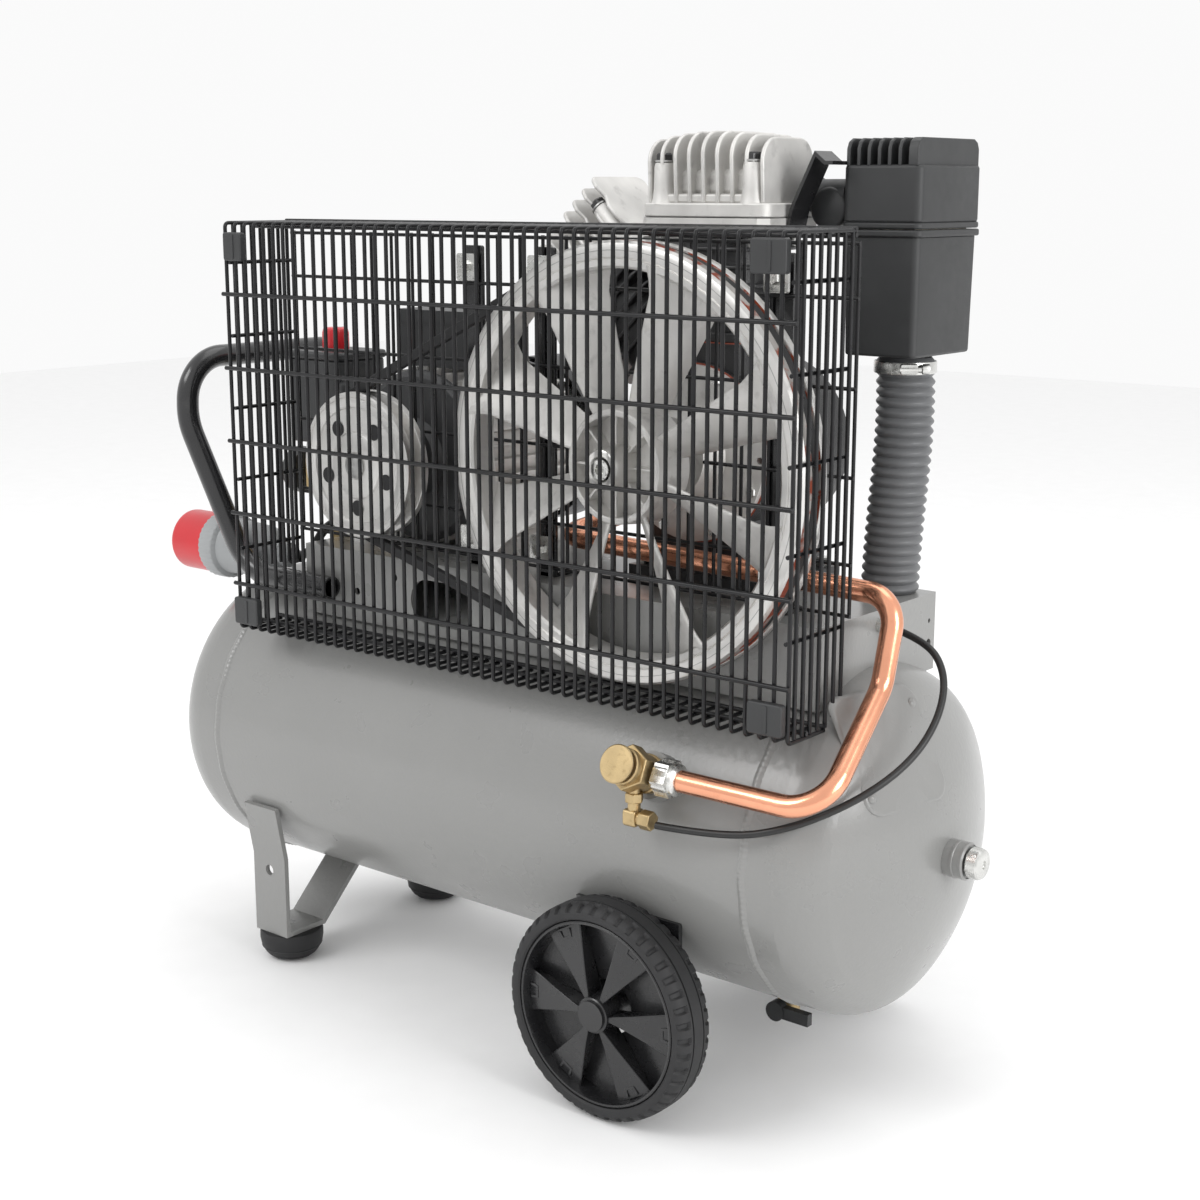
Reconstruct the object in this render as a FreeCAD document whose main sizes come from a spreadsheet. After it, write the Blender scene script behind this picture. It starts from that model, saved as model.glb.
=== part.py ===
"""Wheeled belt-driven air compressor with a 50 litre class receiver.

X runs along the receiver from the feet to the wheels, Y runs from the belt guard to the
motor fan, Z is up. The origin is on the floor under the middle of the machine.
All lengths are in millimetres.
"""
import FreeCAD, Part
import math
import os
import re
import Sketcher

V = FreeCAD.Vector

# alias, value, what it is
SIZES = [
    ("tank_radius", 150, "outer radius of the receiver"),
    ("tank_wall", 3, "plate thickness of the receiver"),
    ("tank_axis_z", 233, "height of the receiver's axis"),
    ("shell_length", 637, "rolled shell between its two round seams"),
    ("shell_mid_x", -15, "middle of the rolled shell"),
    ("skirt_length", 28, "straight skirt of each dished end"),
    ("crown_radius", 240, "large radius of each dished end"),
    ("knuckle_radius", 46, "small radius of each dished end"),
    ("wheel_x", 181.5, "wheel centre along the receiver"),
    ("wheel_radius", 95, "outer radius of the tyre"),
    ("wheel_width", 42, "width of the tyre"),
    ("wheel_mid_y", 167, "middle of each wheel from the centre plane"),
    ("tyre_bore", 81, "radius where the tyre sits on the rim"),
    ("axle_radius", 10, "radius of each stub axle"),
    ("running_gap", 0.06, "radial clearance of the wheel hubs"),
    ("foot_x", -283, "middle of the feet along the receiver"),
    ("foot_y", 106, "middle of each rubber foot from the centre plane"),
    ("foot_radius", 32, "outer radius of a rubber foot"),
    ("foot_height", 30.5, "height of a rubber foot"),
    ("foot_strip", 46, "width of the foot brackets' steel strip"),
    ("strip_gauge", 5, "thickness of strip brackets"),
    ("deck_left_x", -262, "left end of the platform"),
    ("deck_right_x", 331, "right end of the platform"),
    ("deck_front_y", -88, "front edge of the platform"),
    ("deck_back_y", 98, "back edge of the platform"),
    ("deck_top_z", 429, "top face of the platform"),
    ("deck_gauge", 3, "thickness of the platform's sheet"),
    ("deck_flange", 68, "depth of the platform's side flanges"),
    ("grip_radius", 11, "radius of the push handle's tube"),
    ("grip_wall", 2, "wall of the push handle's tube"),
    ("grip_half_y", 109, "push handle's legs from the centre plane, at the crossbar"),
    ("grip_top_z", 603, "height of the push handle's crossbar"),
    ("grip_left_x", -404, "crossbar along the receiver"),
    ("crank_x", 154.5, "crankshaft axis along the receiver"),
    ("crank_z", 546, "height of the crankshaft axis"),
    ("motor_x", -158, "motor axis along the receiver"),
    ("motor_z", 518, "height of the motor axis"),
    ("belt_y", -104, "plane of the belt"),
    ("belt_width", 9, "width of the belt inside its grooves"),
    ("belt_depth", 7.5, "thickness of the belt"),
    ("groove_half", 7, "half width of a groove at its rim"),
    ("groove_floor", 4.8, "half width of a groove at its floor"),
    ("groove_depth", 10, "depth of a groove"),
    ("pulley_radius", 68, "outer radius of the motor pulley"),
    ("pulley_width", 28, "width of the motor pulley"),
    ("flywheel_radius", 182, "outer radius of the flywheel"),
    ("flywheel_width", 34, "width of the flywheel's rim"),
    ("rim_inner", 160, "inner radius of the flywheel's rim"),
    ("hub_radius", 50, "outer radius of the flywheel's hub"),
    ("boss_radius", 17, "radius of the flywheel's boss"),
    ("crank_radius", 12.5, "radius of the crankshaft"),
    ("crank_throw", 24, "throw of the crank pin"),
    ("pin_radius", 10, "radius of the crank pin"),
    ("shaft_radius", 12, "radius of the motor shaft"),
    ("bearing_gap", 0.05, "radial clearance of shafts in their bearings"),
    ("case_radius", 78, "outer radius of the crankcase"),
    ("case_wall", 10, "wall of the crankcase"),
    ("case_front_y", -15, "front face of the crankcase"),
    ("case_back_y", 110, "back face of the crankcase"),
    ("barrel_foot", 94, "where the cylinders stand, from the crank axis"),
    ("barrel_top", 190, "top of the cylinders, from the crank axis"),
    ("barrel_bore", 34, "bore radius of the cylinders"),
    ("barrel_wall", 6, "wall of the cylinders"),
    ("barrel_one_y", 32, "upright cylinder's plane"),
    ("barrel_two_y", 62, "tilted cylinder's plane"),
    ("barrel_tilt", 45, "angle of the tilted cylinder"),
    ("plate_gauge", 8, "thickness of the valve plates"),
    ("head_width", 132, "cylinder head across the crank axis"),
    ("head_depth", 86, "cylinder head along the crank axis"),
    ("head_height", 73, "height of a cylinder head with its fins"),
    ("bolt_x", 46, "head bolts from the head's middle, across"),
    ("bolt_y", 31, "head bolts from the head's middle, along"),
    ("guard_left_x", -291, "left side of the belt guard"),
    ("guard_right_x", 346, "right side of the belt guard"),
    ("guard_front_y", -152, "front face of the belt guard"),
    ("guard_back_y", -67, "back face of the belt guard"),
    ("guard_low_z", 350, "lower edge of the belt guard"),
    ("guard_high_z", 739, "upper edge of the belt guard"),
    ("guard_wire", 3.6, "thickness of the guard's wires"),
    ("guard_columns", 48, "spaces between the guard's upright wires"),
    ("filter_x", 298, "middle of the air filter along the receiver"),
    ("filter_y", 92, "middle of the air filter from the centre plane"),
    ("filter_width", 70, "air filter along the receiver"),
    ("filter_depth", 100, "air filter across the receiver"),
    ("filter_low_z", 632, "bottom of the air filter"),
    ("filter_rim_z", 729, "parting rim of the air filter"),
    ("filter_top_z", 787, "top of the air filter's lid under its fins"),
    ("hose_radius", 25, "outer radius of the intake hose"),
    ("hose_y", 80, "intake hose axis behind the crank axis"),
    ("pipe_radius", 9, "outer radius of the delivery pipe"),
    ("pipe_wall", 1, "wall of the delivery pipe"),
    ("small_hose", 3, "outer radius of the unloader hose"),
    ("cord_radius", 4.5, "outer radius of the power cord"),
    ("valve_x", 212, "check valve along the receiver"),
    ("valve_angle", 24.5, "check valve above the horizontal, in degrees"),
    ("stand_x", -305, "standpipe of the pressure switch along the receiver"),
    ("drain_x", 254, "drain cock along the receiver"),
]

doc = FreeCAD.newDocument("air_compressor")
sheet = doc.addObject("Spreadsheet::Sheet", "dims")
for row, (alias, amount, meaning) in enumerate(SIZES, start=1):
    sheet.set("A%d" % row, str(amount))
    sheet.set("B%d" % row, meaning)
    sheet.setAlias("A%d" % row, alias)
doc.recompute()
ALIASES = set(alias for alias, amount, meaning in SIZES)
NODES = {}

# how a piece's own axes lie in the machine: local Z along the named axis, or a flat
# outline standing in the named plane
TURNS = {
    "z": ((0, 0, 1), 0),
    "x": ((0, 1, 0), 90),
    "y": ((1, 0, 0), -90),
    "xz": ((1, 0, 0), 90),
    "yz": ((1, 1, 1), 120),
}


def linked(text):
    """The expression with each alias pointing at the sheet."""
    def swap(match):
        word = match.group(0)
        return "dims." + word if word in ALIASES else word
    return re.sub(r"[a-z][a-z_0-9]*", swap, str(text))


def num(text):
    """The present value of an expression of sizes."""
    return float(sheet.evalExpression(str(text)))


def put(thing, x="0", y="0", z="0", turn="z"):
    """Place an object by expressions and turn it one of the standard ways."""
    axis, angle = TURNS[turn]
    rotation = FreeCAD.Rotation(V(*axis), angle)
    thing.Placement = FreeCAD.Placement(V(num(x), num(y), num(z)), rotation)
    for letter, text in (("x", x), ("y", y), ("z", z)):
        thing.setExpression("Placement.Base." + letter, linked(text))
    return thing


def box(name, size, corner, turn="z"):
    """A Part::Box from its three sizes and its lowest corner."""
    thing = doc.addObject("Part::Box", name)
    for side, text in zip(("Length", "Width", "Height"), size):
        thing.setExpression(side, linked(text))
    return put(thing, *corner, turn=turn)


def rod(name, radius, length, start, turn="z"):
    """A Part::Cylinder from its start point along an axis."""
    thing = doc.addObject("Part::Cylinder", name)
    thing.setExpression("Radius", linked(radius))
    thing.setExpression("Height", linked(length))
    return put(thing, *start, turn=turn)


def fuse(name, *pieces):
    """Pieces welded or cast as one."""
    thing = doc.addObject("Part::MultiFuse", name)
    thing.Shapes = list(pieces)
    return thing


def cut(name, base, *tools):
    """A piece with one or more openings."""
    thing = doc.addObject("Part::Cut", name)
    thing.Base = base
    thing.Tool = tools[0] if len(tools) == 1 else fuse(name + "_tools", *tools)
    return thing


def group(name, *pieces):
    """Alike pieces that share a node as separate solids."""
    thing = doc.addObject("Part::Compound", name)
    thing.Links = list(pieces)
    return thing


def formed(name, shape):
    """A piece whose shape comes from Part's own functions."""
    thing = doc.addObject("Part::Feature", name)
    thing.Shape = shape
    return thing


def node(label, thing):
    """Name a finished sub-part."""
    thing.Label = label
    NODES[label] = thing
    return thing


def sketch(body, name, plane, outline, circles=(), lift="0"):
    """A closed outline with round holes, each point tied to the sheet."""
    drawing = body.newObject("Sketcher::SketchObject", name)
    support = [f for f in body.Origin.OriginFeatures if f.Role == plane][0]
    drawing.AttachmentSupport = [(support, "")]
    drawing.MapMode = "FlatFace"
    drawing.AttachmentOffset = FreeCAD.Placement(V(0, 0, num(lift)), FreeCAD.Rotation())
    drawing.setExpression("AttachmentOffset.Base.z", linked(lift))
    points = [V(num(u), num(v), 0) for u, v in outline]
    count = len(points)
    for index in range(count):
        line = Part.LineSegment(points[index], points[(index + 1) % count])
        drawing.addGeometry(line, False)
    for index in range(count):
        joint = Sketcher.Constraint("Coincident", index, 2, (index + 1) % count, 1)
        drawing.addConstraint(joint)
    for index, (u, v) in enumerate(outline):
        tie(drawing, index, 1, points[index], u, v)
    for index, (u, v, radius) in enumerate(circles):
        centre = V(num(u), num(v), 0)
        key = drawing.addGeometry(Part.Circle(centre, V(0, 0, 1), num(radius)), False)
        tie(drawing, key, 3, centre, u, v)
        name_r = "radius%d" % index
        place = drawing.addConstraint(Sketcher.Constraint("Radius", key, num(radius)))
        drawing.renameConstraint(place, name_r)
        drawing.setExpression("Constraints." + name_r, linked(radius))
    return drawing


def tie(drawing, key, end, point, u, v):
    """Hold one point of a sketch at its two expressions."""
    for kind, amount, text in (("DistanceX", point.x, u), ("DistanceY", point.y, v)):
        label = "%s%d_%d" % (kind, key, end)
        place = drawing.addConstraint(Sketcher.Constraint(kind, -1, 1, key, end, amount))
        drawing.renameConstraint(place, label)
        drawing.setExpression("Constraints." + label, linked(text))


def new_body(name):
    return doc.addObject("PartDesign::Body", name)


def revolve(body, outline, name="turned"):
    """Turn an outline of (radius, height) points about the body's Z axis."""
    drawing = sketch(body, name + "_sketch", "XZ_Plane", outline)
    feature = body.newObject("PartDesign::Revolution", name)
    feature.Profile = drawing
    feature.ReferenceAxis = (drawing, ["V_Axis"])
    feature.Angle = 360
    return feature


def pad(body, outline, length, circles=(), lift="0", plane="XY_Plane", name="pad", both=False):
    """Thicken an outline; both grows it to each side of its plane."""
    drawing = sketch(body, name + "_sketch", plane, outline, circles, lift)
    feature = body.newObject("PartDesign::Pad", name)
    feature.Profile = drawing
    feature.setExpression("Length", linked(length))
    if both:
        feature.Midplane = True
    return feature


def pocket(body, circles, length, lift="0", name="holes", plane="XY_Plane", outline=()):
    """Cut holes upward from their plane, and check that material went."""
    doc.recompute()
    before = body.Shape.Volume
    drawing = sketch(body, name + "_sketch", plane, outline, circles, lift)
    feature = body.newObject("PartDesign::Pocket", name)
    feature.Profile = drawing
    feature.setExpression("Length", linked(length))
    feature.Reversed = True
    doc.recompute()
    if body.Shape.Volume > before - 1:
        raise RuntimeError(body.Name + ": " + name + " cuts nothing")
    return feature


def polar(body, feature, count, name="ring"):
    """Repeat a feature round the body's Z axis."""
    pattern = body.newObject("PartDesign::PolarPattern", name)
    pattern.Originals = [feature]
    axis = [f for f in body.Origin.OriginFeatures if f.Role == "Z_Axis"][0]
    pattern.Axis = (axis, [""])
    pattern.Angle = 360
    pattern.Occurrences = count
    body.Tip = pattern
    return pattern


def linear(body, feature, role, length, count, name="row"):
    """Repeat a feature along one of the body's own axes."""
    pattern = body.newObject("PartDesign::LinearPattern", name)
    pattern.Originals = [feature]
    axis = [f for f in body.Origin.OriginFeatures if f.Role == role][0]
    pattern.Direction = (axis, [""])
    pattern.setExpression("Length", linked(length))
    pattern.Occurrences = count
    body.Tip = pattern
    return pattern


def block(half_u, half_v):
    """The outline of a centred rectangle."""
    return [("-(%s)" % half_u, "-(%s)" % half_v), (half_u, "-(%s)" % half_v),
            (half_u, half_v), ("-(%s)" % half_u, half_v)]


def clipped(half_u, half_v, corner):
    """The outline of a centred rectangle with its corners taken off."""
    u, v, c = half_u, half_v, corner
    return [("-(%s)+%s" % (u, c), "-(%s)" % v), ("%s-%s" % (u, c), "-(%s)" % v),
            (u, "-(%s)+%s" % (v, c)), (u, "%s-%s" % (v, c)),
            ("%s-%s" % (u, c), v), ("-(%s)+%s" % (u, c), v),
            ("-(%s)" % u, "%s-%s" % (v, c)), ("-(%s)" % u, "-(%s)+%s" % (v, c))]


def rounded_path(points, radius_of):
    """Straight runs joined by tangent arcs; radius_of gives each corner's radius."""
    edges = []
    start = points[0]
    for index in range(1, len(points) - 1):
        corner = points[index]
        ahead = (points[index + 1] - corner).normalize()
        back = (points[index - 1] - corner).normalize()
        turn = math.pi - back.getAngle(ahead)
        radius = radius_of(index, turn)
        reach = radius * math.tan(turn / 2)
        enter = corner + back * reach
        leave = corner + ahead * reach
        inward = (back + ahead).normalize()
        middle = corner + inward * (radius / math.cos(turn / 2) - radius)
        if (enter - start).Length > 1e-6:
            edges.append(Part.LineSegment(start, enter).toShape())
        edges.append(Part.Arc(enter, middle, leave).toShape())
        start = leave
    edges.append(Part.LineSegment(start, points[-1]).toShape())
    return Part.Wire(edges)


def swept(path, radius):
    """A round bar along a path, with its volume checked."""
    first = path.Edges[0]
    start = first.valueAt(first.FirstParameter)
    ahead = first.tangentAt(first.FirstParameter)
    ring = Part.Wire([Part.Circle(start, ahead, radius).toShape()])
    bar = path.makePipeShell([ring], True, False)
    wanted = math.pi * radius ** 2 * path.Length
    if abs(bar.Volume - wanted) > 0.01 * wanted:
        raise RuntimeError("a bent bar's volume is %.0f, not %.0f" % (bar.Volume, wanted))
    return bar


def tube_along(path, radius, wall):
    return swept(path, radius).cut(swept(path, radius - wall))


def cord_along(name, points, radius):
    """A free cord: each arc is as large as its two runs allow."""
    radii = []

    def widest(index, turn):
        before = (points[index] - points[index - 1]).Length
        after = (points[index + 1] - points[index]).Length
        radii.append(0.45 * min(before, after) / math.tan(turn / 2))
        return radii[-1]
    path = rounded_path(points, widest)
    print(name, "length %.0f" % path.Length, "radii", [round(r) for r in radii])
    return swept(path, radius)


def strip(points, gauge, width, plane_origin, along):
    """Bent sheet: a centre line in one plane, thickened and pushed along a direction."""
    sides = ([], [])
    for index, point in enumerate(points):
        before = points[max(index - 1, 0)]
        after = points[min(index + 1, len(points) - 1)]
        one = (point - before).normalize() if index else None
        two = (after - point).normalize() if index < len(points) - 1 else None
        lead = one or two
        tail = two or one
        across = (lead.cross(along) + tail.cross(along)).normalize()
        shift = gauge / 2 / across.dot(lead.cross(along).normalize())
        sides[0].append(point + across * shift)
        sides[1].append(point - across * shift)
    loop = sides[0] + sides[1][::-1]
    loop = [point + plane_origin for point in loop]
    face = Part.Face(Part.makePolygon(loop + [loop[0]]))
    return face.extrude(along * width)


def mirrored(shape):
    """The same piece on the other side of the centre plane."""
    return shape.mirror(V(0, 0, 0), V(0, 1, 0))


def bar(radius, start, direction, length):
    """A plain round bar as a shape."""
    return Part.makeCylinder(radius, length, start, direction)


def tank_solid():
    """The receiver's outer cylinder, used to shape what is welded to it."""
    radius = num("tank_radius")
    start = V(num("shell_mid_x - shell_length / 2"), 0, num("tank_axis_z"))
    return bar(radius, start, V(1, 0, 0), num("shell_length"))


def radial(angle):
    """The direction out of the receiver towards the guard, above the horizontal."""
    return V(0, -math.cos(math.radians(angle)), math.sin(math.radians(angle)))


def dish_depth(radius):
    """Depth of a dished end from its crown and knuckle radii."""
    crown, knuckle = num("crown_radius"), num("knuckle_radius")
    return crown - math.sqrt((crown - knuckle) ** 2 - (radius - knuckle) ** 2)


def dished_end(radius, wall, skirt):
    """A dished end with its skirt below the XY plane and its crown up."""
    crown, knuckle = num("crown_radius"), num("knuckle_radius")
    centre_z = dish_depth(radius) - crown
    lean = math.atan2(radius - knuckle, -centre_z)
    profile = []
    for inset in (0, wall):
        big, small = crown - inset, knuckle - inset
        top = V(0, 0, centre_z + big)
        side = V(big * math.sin(lean), 0, centre_z + big * math.cos(lean))
        half = V(big * math.sin(lean / 2), 0, centre_z + big * math.cos(lean / 2))
        turn = (math.pi / 2 + lean) / 2
        bend = V(radius - knuckle + small * math.sin(turn), 0, small * math.cos(turn))
        foot = V(radius - inset, 0, 0)
        profile.append((top, half, side, bend, foot))
    edges = []
    for top, half, side, bend, foot in profile:
        edges.append(Part.Arc(top, half, side).toShape())
        edges.append(Part.Arc(side, bend, foot).toShape())
        edges.append(Part.LineSegment(foot, V(foot.x, 0, -skirt)).toShape())
    edges.append(Part.LineSegment(V(radius, 0, -skirt), V(radius - wall, 0, -skirt)).toShape())
    edges.append(Part.LineSegment(profile[0][0], profile[1][0]).toShape())
    face = Part.Face(Part.Wire(Part.__sortEdges__(edges)))
    return face.revolve(V(0, 0, 0), V(0, 0, 1), 360)


def air_receiver():
    """Rolled shell, two dished ends and the threaded bosses welded to them."""
    left = "shell_mid_x - shell_length / 2"
    outer = rod("shell_outer", "tank_radius", "shell_length", (left, "0", "tank_axis_z"), "x")
    inner = rod("shell_inner", "tank_radius - tank_wall", "shell_length + 2",
                (left + " - 1", "0", "tank_axis_z"), "x")
    drain = rod("shell_drain", "6", "tank_wall + 8",
                ("drain_x", "0", "tank_axis_z - tank_radius - 4"))
    stand = rod("shell_stand", "9", "tank_wall + 8",
                ("stand_x", "0", "tank_axis_z + tank_radius - tank_wall - 4"))
    node("tank_shell", cut("shell", outer, inner, drain, stand))

    radius, wall = num("tank_radius"), num("tank_wall")
    skirt, height = num("skirt_length"), num("tank_axis_z")
    ends = []
    for name, sign in (("left", -1), ("right", 1)):
        seam = num("shell_mid_x") + sign * num("shell_length") / 2
        shell = dished_end(radius, wall, skirt)
        shell.rotate(V(0, 0, 0), V(0, 1, 0), 90 * sign)
        shell.translate(V(seam + sign * skirt, 0, height))
        ends.append(formed("dished_end_" + name, shell))
    node("tank_heads", group("dished_ends", *ends))
    dish = dish_depth(radius)

    tank = tank_solid()
    out = radial(num("valve_angle"))
    base = V(num("valve_x"), 0, height)
    valve_boss = bar(20, base + out * (radius - 6), out, 20)
    valve_boss = valve_boss.cut(tank).cut(bar(10, base + out * (radius - 8), out, 30))
    stand_boss = bar(17, V(num("stand_x"), 0, height + radius - 3), V(0, 0, 1), 15)
    stand_boss = stand_boss.cut(tank)
    stand_boss = stand_boss.cut(bar(10, V(num("stand_x"), 0, height), V(0, 0, 1), 200))
    drain_boss = bar(13, V(num("drain_x"), 0, height - radius + 3), V(0, 0, -1), 15)
    drain_boss = drain_boss.cut(tank)
    drain_boss = drain_boss.cut(bar(7, V(num("drain_x"), 0, height), V(0, 0, -1), 200))
    tip = num("shell_mid_x + shell_length / 2") + skirt + dish
    crown = num("crown_radius")
    boss_rim = crown - math.sqrt(crown ** 2 - 15.5 ** 2)
    end_boss = bar(15.5, V(tip, 0, height), V(1, 0, 0), 16.5)
    end_boss = end_boss.cut(bar(9, V(tip - 1, 0, height), V(1, 0, 0), 20))
    neck = bar(15.5, V(tip - boss_rim - 0.05, 0, height), V(1, 0, 0), boss_rim + 0.05)
    neck = neck.cut(ends[1].Shape).cut(bar(15, V(tip - 9, 0, height), V(1, 0, 0), 20))
    end_boss = end_boss.fuse(neck) if neck.Volume > 1 else end_boss
    bosses = [formed("valve_boss", valve_boss), formed("stand_boss", stand_boss),
              formed("drain_boss", drain_boss), formed("end_boss", end_boss)]
    node("tank_bosses", group("bosses", *bosses))

    hexagon = Part.Face(Part.makePolygon(
        [V(tip + 16.5, 13.5 * math.cos(k * math.pi / 3), height + 13.5 * math.sin(k * math.pi / 3))
         for k in range(7)]))
    plug = hexagon.extrude(V(13.5, 0, 0)).fuse(bar(9, V(tip + 4, 0, height), V(1, 0, 0), 12.5))
    node("tank_plug", formed("end_plug", plug.removeSplitter()))


def feet():
    """Two strip brackets under the receiver's left end, each on a rubber foot."""
    tank = tank_solid()
    low = num("foot_height + strip_gauge / 2")
    line = [V(0, -140, 168), V(0, -130, 113), V(0, -130, low), V(0, -82, low), V(0, -22, 92)]
    start = V(num("foot_x - foot_strip / 2"), 0, 0)
    bracket = strip(line, num("strip_gauge"), num("foot_strip"), start, V(1, 0, 0)).cut(tank)
    hole = bar(5.5, V(num("foot_x"), -150, 98), V(0, 1, 0), 40)
    bracket = bracket.cut(hole)
    pair = [formed("bracket_front", bracket), formed("bracket_back", mirrored(bracket))]
    node("foot_brackets", group("foot_pair", *pair))
    cups = []
    for name, sign in (("front", "-1"), ("back", "1")):
        body = new_body("rubber_" + name)
        revolve(body, [("0", "0"), ("foot_radius - 14", "0"), ("foot_radius - 3", "9"),
                       ("foot_radius", "20"), ("foot_radius", "foot_height"),
                       ("0", "foot_height")])
        cups.append(put(body, "foot_x", sign + " * foot_y", "0"))
    node("rubber_feet", group("rubbers", *cups))


def wheels():
    """Tyres on six-spoke rims, turning on stub axles that stand on two plates."""
    tank = tank_solid()
    centre_x, centre_z = num("wheel_x"), num("wheel_radius")
    inner_y = num("wheel_mid_y - wheel_width / 2")
    plate_y = inner_y - 4 - num("strip_gauge")
    outline = [V(centre_x - 55, 0, 175), V(centre_x - 22, 0, 74), V(centre_x + 22, 0, 74),
               V(centre_x + 55, 0, 130), V(centre_x + 55, 0, 175)]
    outline = [point - V(0, plate_y, 0) for point in outline]
    plate = Part.Face(Part.makePolygon(outline + [outline[0]]))
    plate = plate.extrude(V(0, -num("strip_gauge"), 0)).cut(tank)
    axle_radius = num("axle_radius")
    hole = bar(axle_radius, V(centre_x, -inner_y - 5, centre_z), V(0, 1, 0), 60)
    plate = plate.cut(hole)
    plates = [formed("plate_front", plate), formed("plate_back", mirrored(plate))]

    outer_y = num("wheel_mid_y + wheel_width / 2")
    tip_y = -outer_y - 2.5
    axle = bar(axle_radius, V(centre_x, tip_y, centre_z), V(0, 1, 0), -plate_y - tip_y)
    axle = axle.fuse(bar(15, V(centre_x, -plate_y, centre_z), V(0, 1, 0), 7))
    axle = axle.fuse(bar(15, V(centre_x, -inner_y, centre_z), V(0, 1, 0), 4))
    axle = axle.fuse(bar(13, V(centre_x, tip_y, centre_z), V(0, 1, 0), 3.8)).removeSplitter()
    plates += [formed("axle_front", axle), formed("axle_back", mirrored(axle))]
    node("wheel_brackets", group("plates_and_axles", *plates))

    for name, sign in (("front", "-1"), ("rear", "1")):
        half = "wheel_width / 2"
        middle = ("wheel_x", sign + " * wheel_mid_y", "wheel_radius")
        tyre = new_body("tyre_body_" + name)
        revolve(tyre, [("tyre_bore", "-(wheel_width / 2 - 4)"), ("tyre_bore + 3", "-wheel_width / 2"),
                       ("wheel_radius - 7", "-wheel_width / 2"), ("wheel_radius - 1.5", "-16"),
                       ("wheel_radius", "-8"), ("wheel_radius", "8"),
                       ("wheel_radius - 1.5", "16"), ("wheel_radius - 7", half),
                       ("tyre_bore + 3", half), ("tyre_bore", "wheel_width / 2 - 4")])
        node("tyre_" + name, put(tyre, *middle, turn="y"))
        rim = new_body("rim_body_" + name)
        bore = "axle_radius + running_gap"
        revolve(rim, [("tyre_bore - 5", "-(wheel_width / 2 - 4)"), ("tyre_bore", "-(wheel_width / 2 - 4)"),
                      ("tyre_bore", "wheel_width / 2 - 4"), ("tyre_bore - 5", "wheel_width / 2 - 4")],
                name="barrel")
        spoke = pad(rim, [("12", "-6"), ("tyre_bore - 4", "-15"), ("tyre_bore - 4", "15"), ("12", "6")],
                    "16", name="spoke", both=True)
        polar(rim, spoke, 6)
        doc.recompute()
        hub = revolve(rim, [(bore, "-(wheel_width / 2 - 1.6)"), ("17", "-(wheel_width / 2 - 1.6)"),
                            ("17", "wheel_width / 2 - 1.6"), (bore, "wheel_width / 2 - 1.6")],
                      name="hub")
        body_tip(rim, hub)
        doc.recompute()
        drill = drill_through(rim, bore, "wheel_width + 10")
        body_tip(rim, drill)
        node("rim_" + name, put(rim, *middle, turn="y"))


def body_tip(body, feature):
    body.Tip = feature
    doc.recompute()


def drill_through(body, radius, length):
    """A round hole along the body's whole Z axis."""
    drawing = sketch(body, "drill_sketch", "XY_Plane", [], [("0", "0", radius)])
    feature = body.newObject("PartDesign::Pocket", "drill")
    feature.Profile = drawing
    feature.Midplane = True
    feature.setExpression("Length", linked(length))
    return feature


def platform():
    """Folded sheet tray that carries the motor, the pump and the guard."""
    size_x = "deck_right_x - deck_left_x"
    size_y = "deck_back_y - deck_front_y"
    low = "deck_top_z - deck_flange"
    inner = "deck_top_z - deck_gauge"
    top = box("deck_top", (size_x, size_y, "deck_gauge"), ("deck_left_x", "deck_front_y", inner))
    front = box("deck_front", (size_x, "deck_gauge", "deck_flange"), ("deck_left_x", "deck_front_y", low))
    back = box("deck_back", (size_x, "deck_gauge", "deck_flange"),
               ("deck_left_x", "deck_back_y - deck_gauge", low))
    end_height = "deck_top_z - tank_axis_z - tank_radius + 60"
    ends = []
    for name, spot in (("left", "deck_left_x"), ("right", "deck_right_x - deck_gauge")):
        corner = (spot, "deck_front_y", "tank_axis_z + tank_radius - 60")
        plain = box("end_" + name, ("deck_gauge", size_y, end_height), corner)
        slopes = []
        for side, edge in (("near", "deck_front_y - 48"), ("far", "deck_back_y - 12")):
            slope = box("slope_" + name + side, ("deck_gauge + 2", "60", "60"),
                        (spot + " - 1", edge, low + " - 60"))
            slopes.append(slope)
        ends.append(cut("flange_" + name, plain, *slopes))
    tray = fuse("tray", top, front, back, *ends)
    saddle = rod("saddle", "tank_radius", size_x + " + 20",
                 ("deck_left_x - 10", "0", "tank_axis_z"), "x")
    slot_z = "deck_top_z - 37"
    tools = [saddle,
             rod("slot_one", "21", "20", ("-98", "deck_front_y - 5", slot_z), "y"),
             rod("slot_two", "21", "20", ("-62", "deck_front_y - 5", slot_z), "y"),
             box("slot_mid", ("36", "20", "42"), ("-98", "deck_front_y - 5", slot_z + " - 21")),
             rod("hole_one", "3.5", "20", ("-140", "deck_front_y - 5", "deck_top_z - 19"), "y"),
             rod("hole_two", "3.5", "20", ("-191", "deck_front_y - 5", "deck_top_z - 39"), "y"),
             rod("hole_three", "2", "20", ("deck_right_x - 10", "88", "deck_top_z - 24"), "x"),
             rod("hole_four", "4", "20", ("deck_right_x - 10", "88", "deck_top_z - 44"), "x"),
             rod("hose_hole", "hose_radius - 12", "20", ("filter_x", "hose_y", "deck_top_z - 10"))]
    node("platform", cut("tray_cut", tray, *tools))


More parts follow.
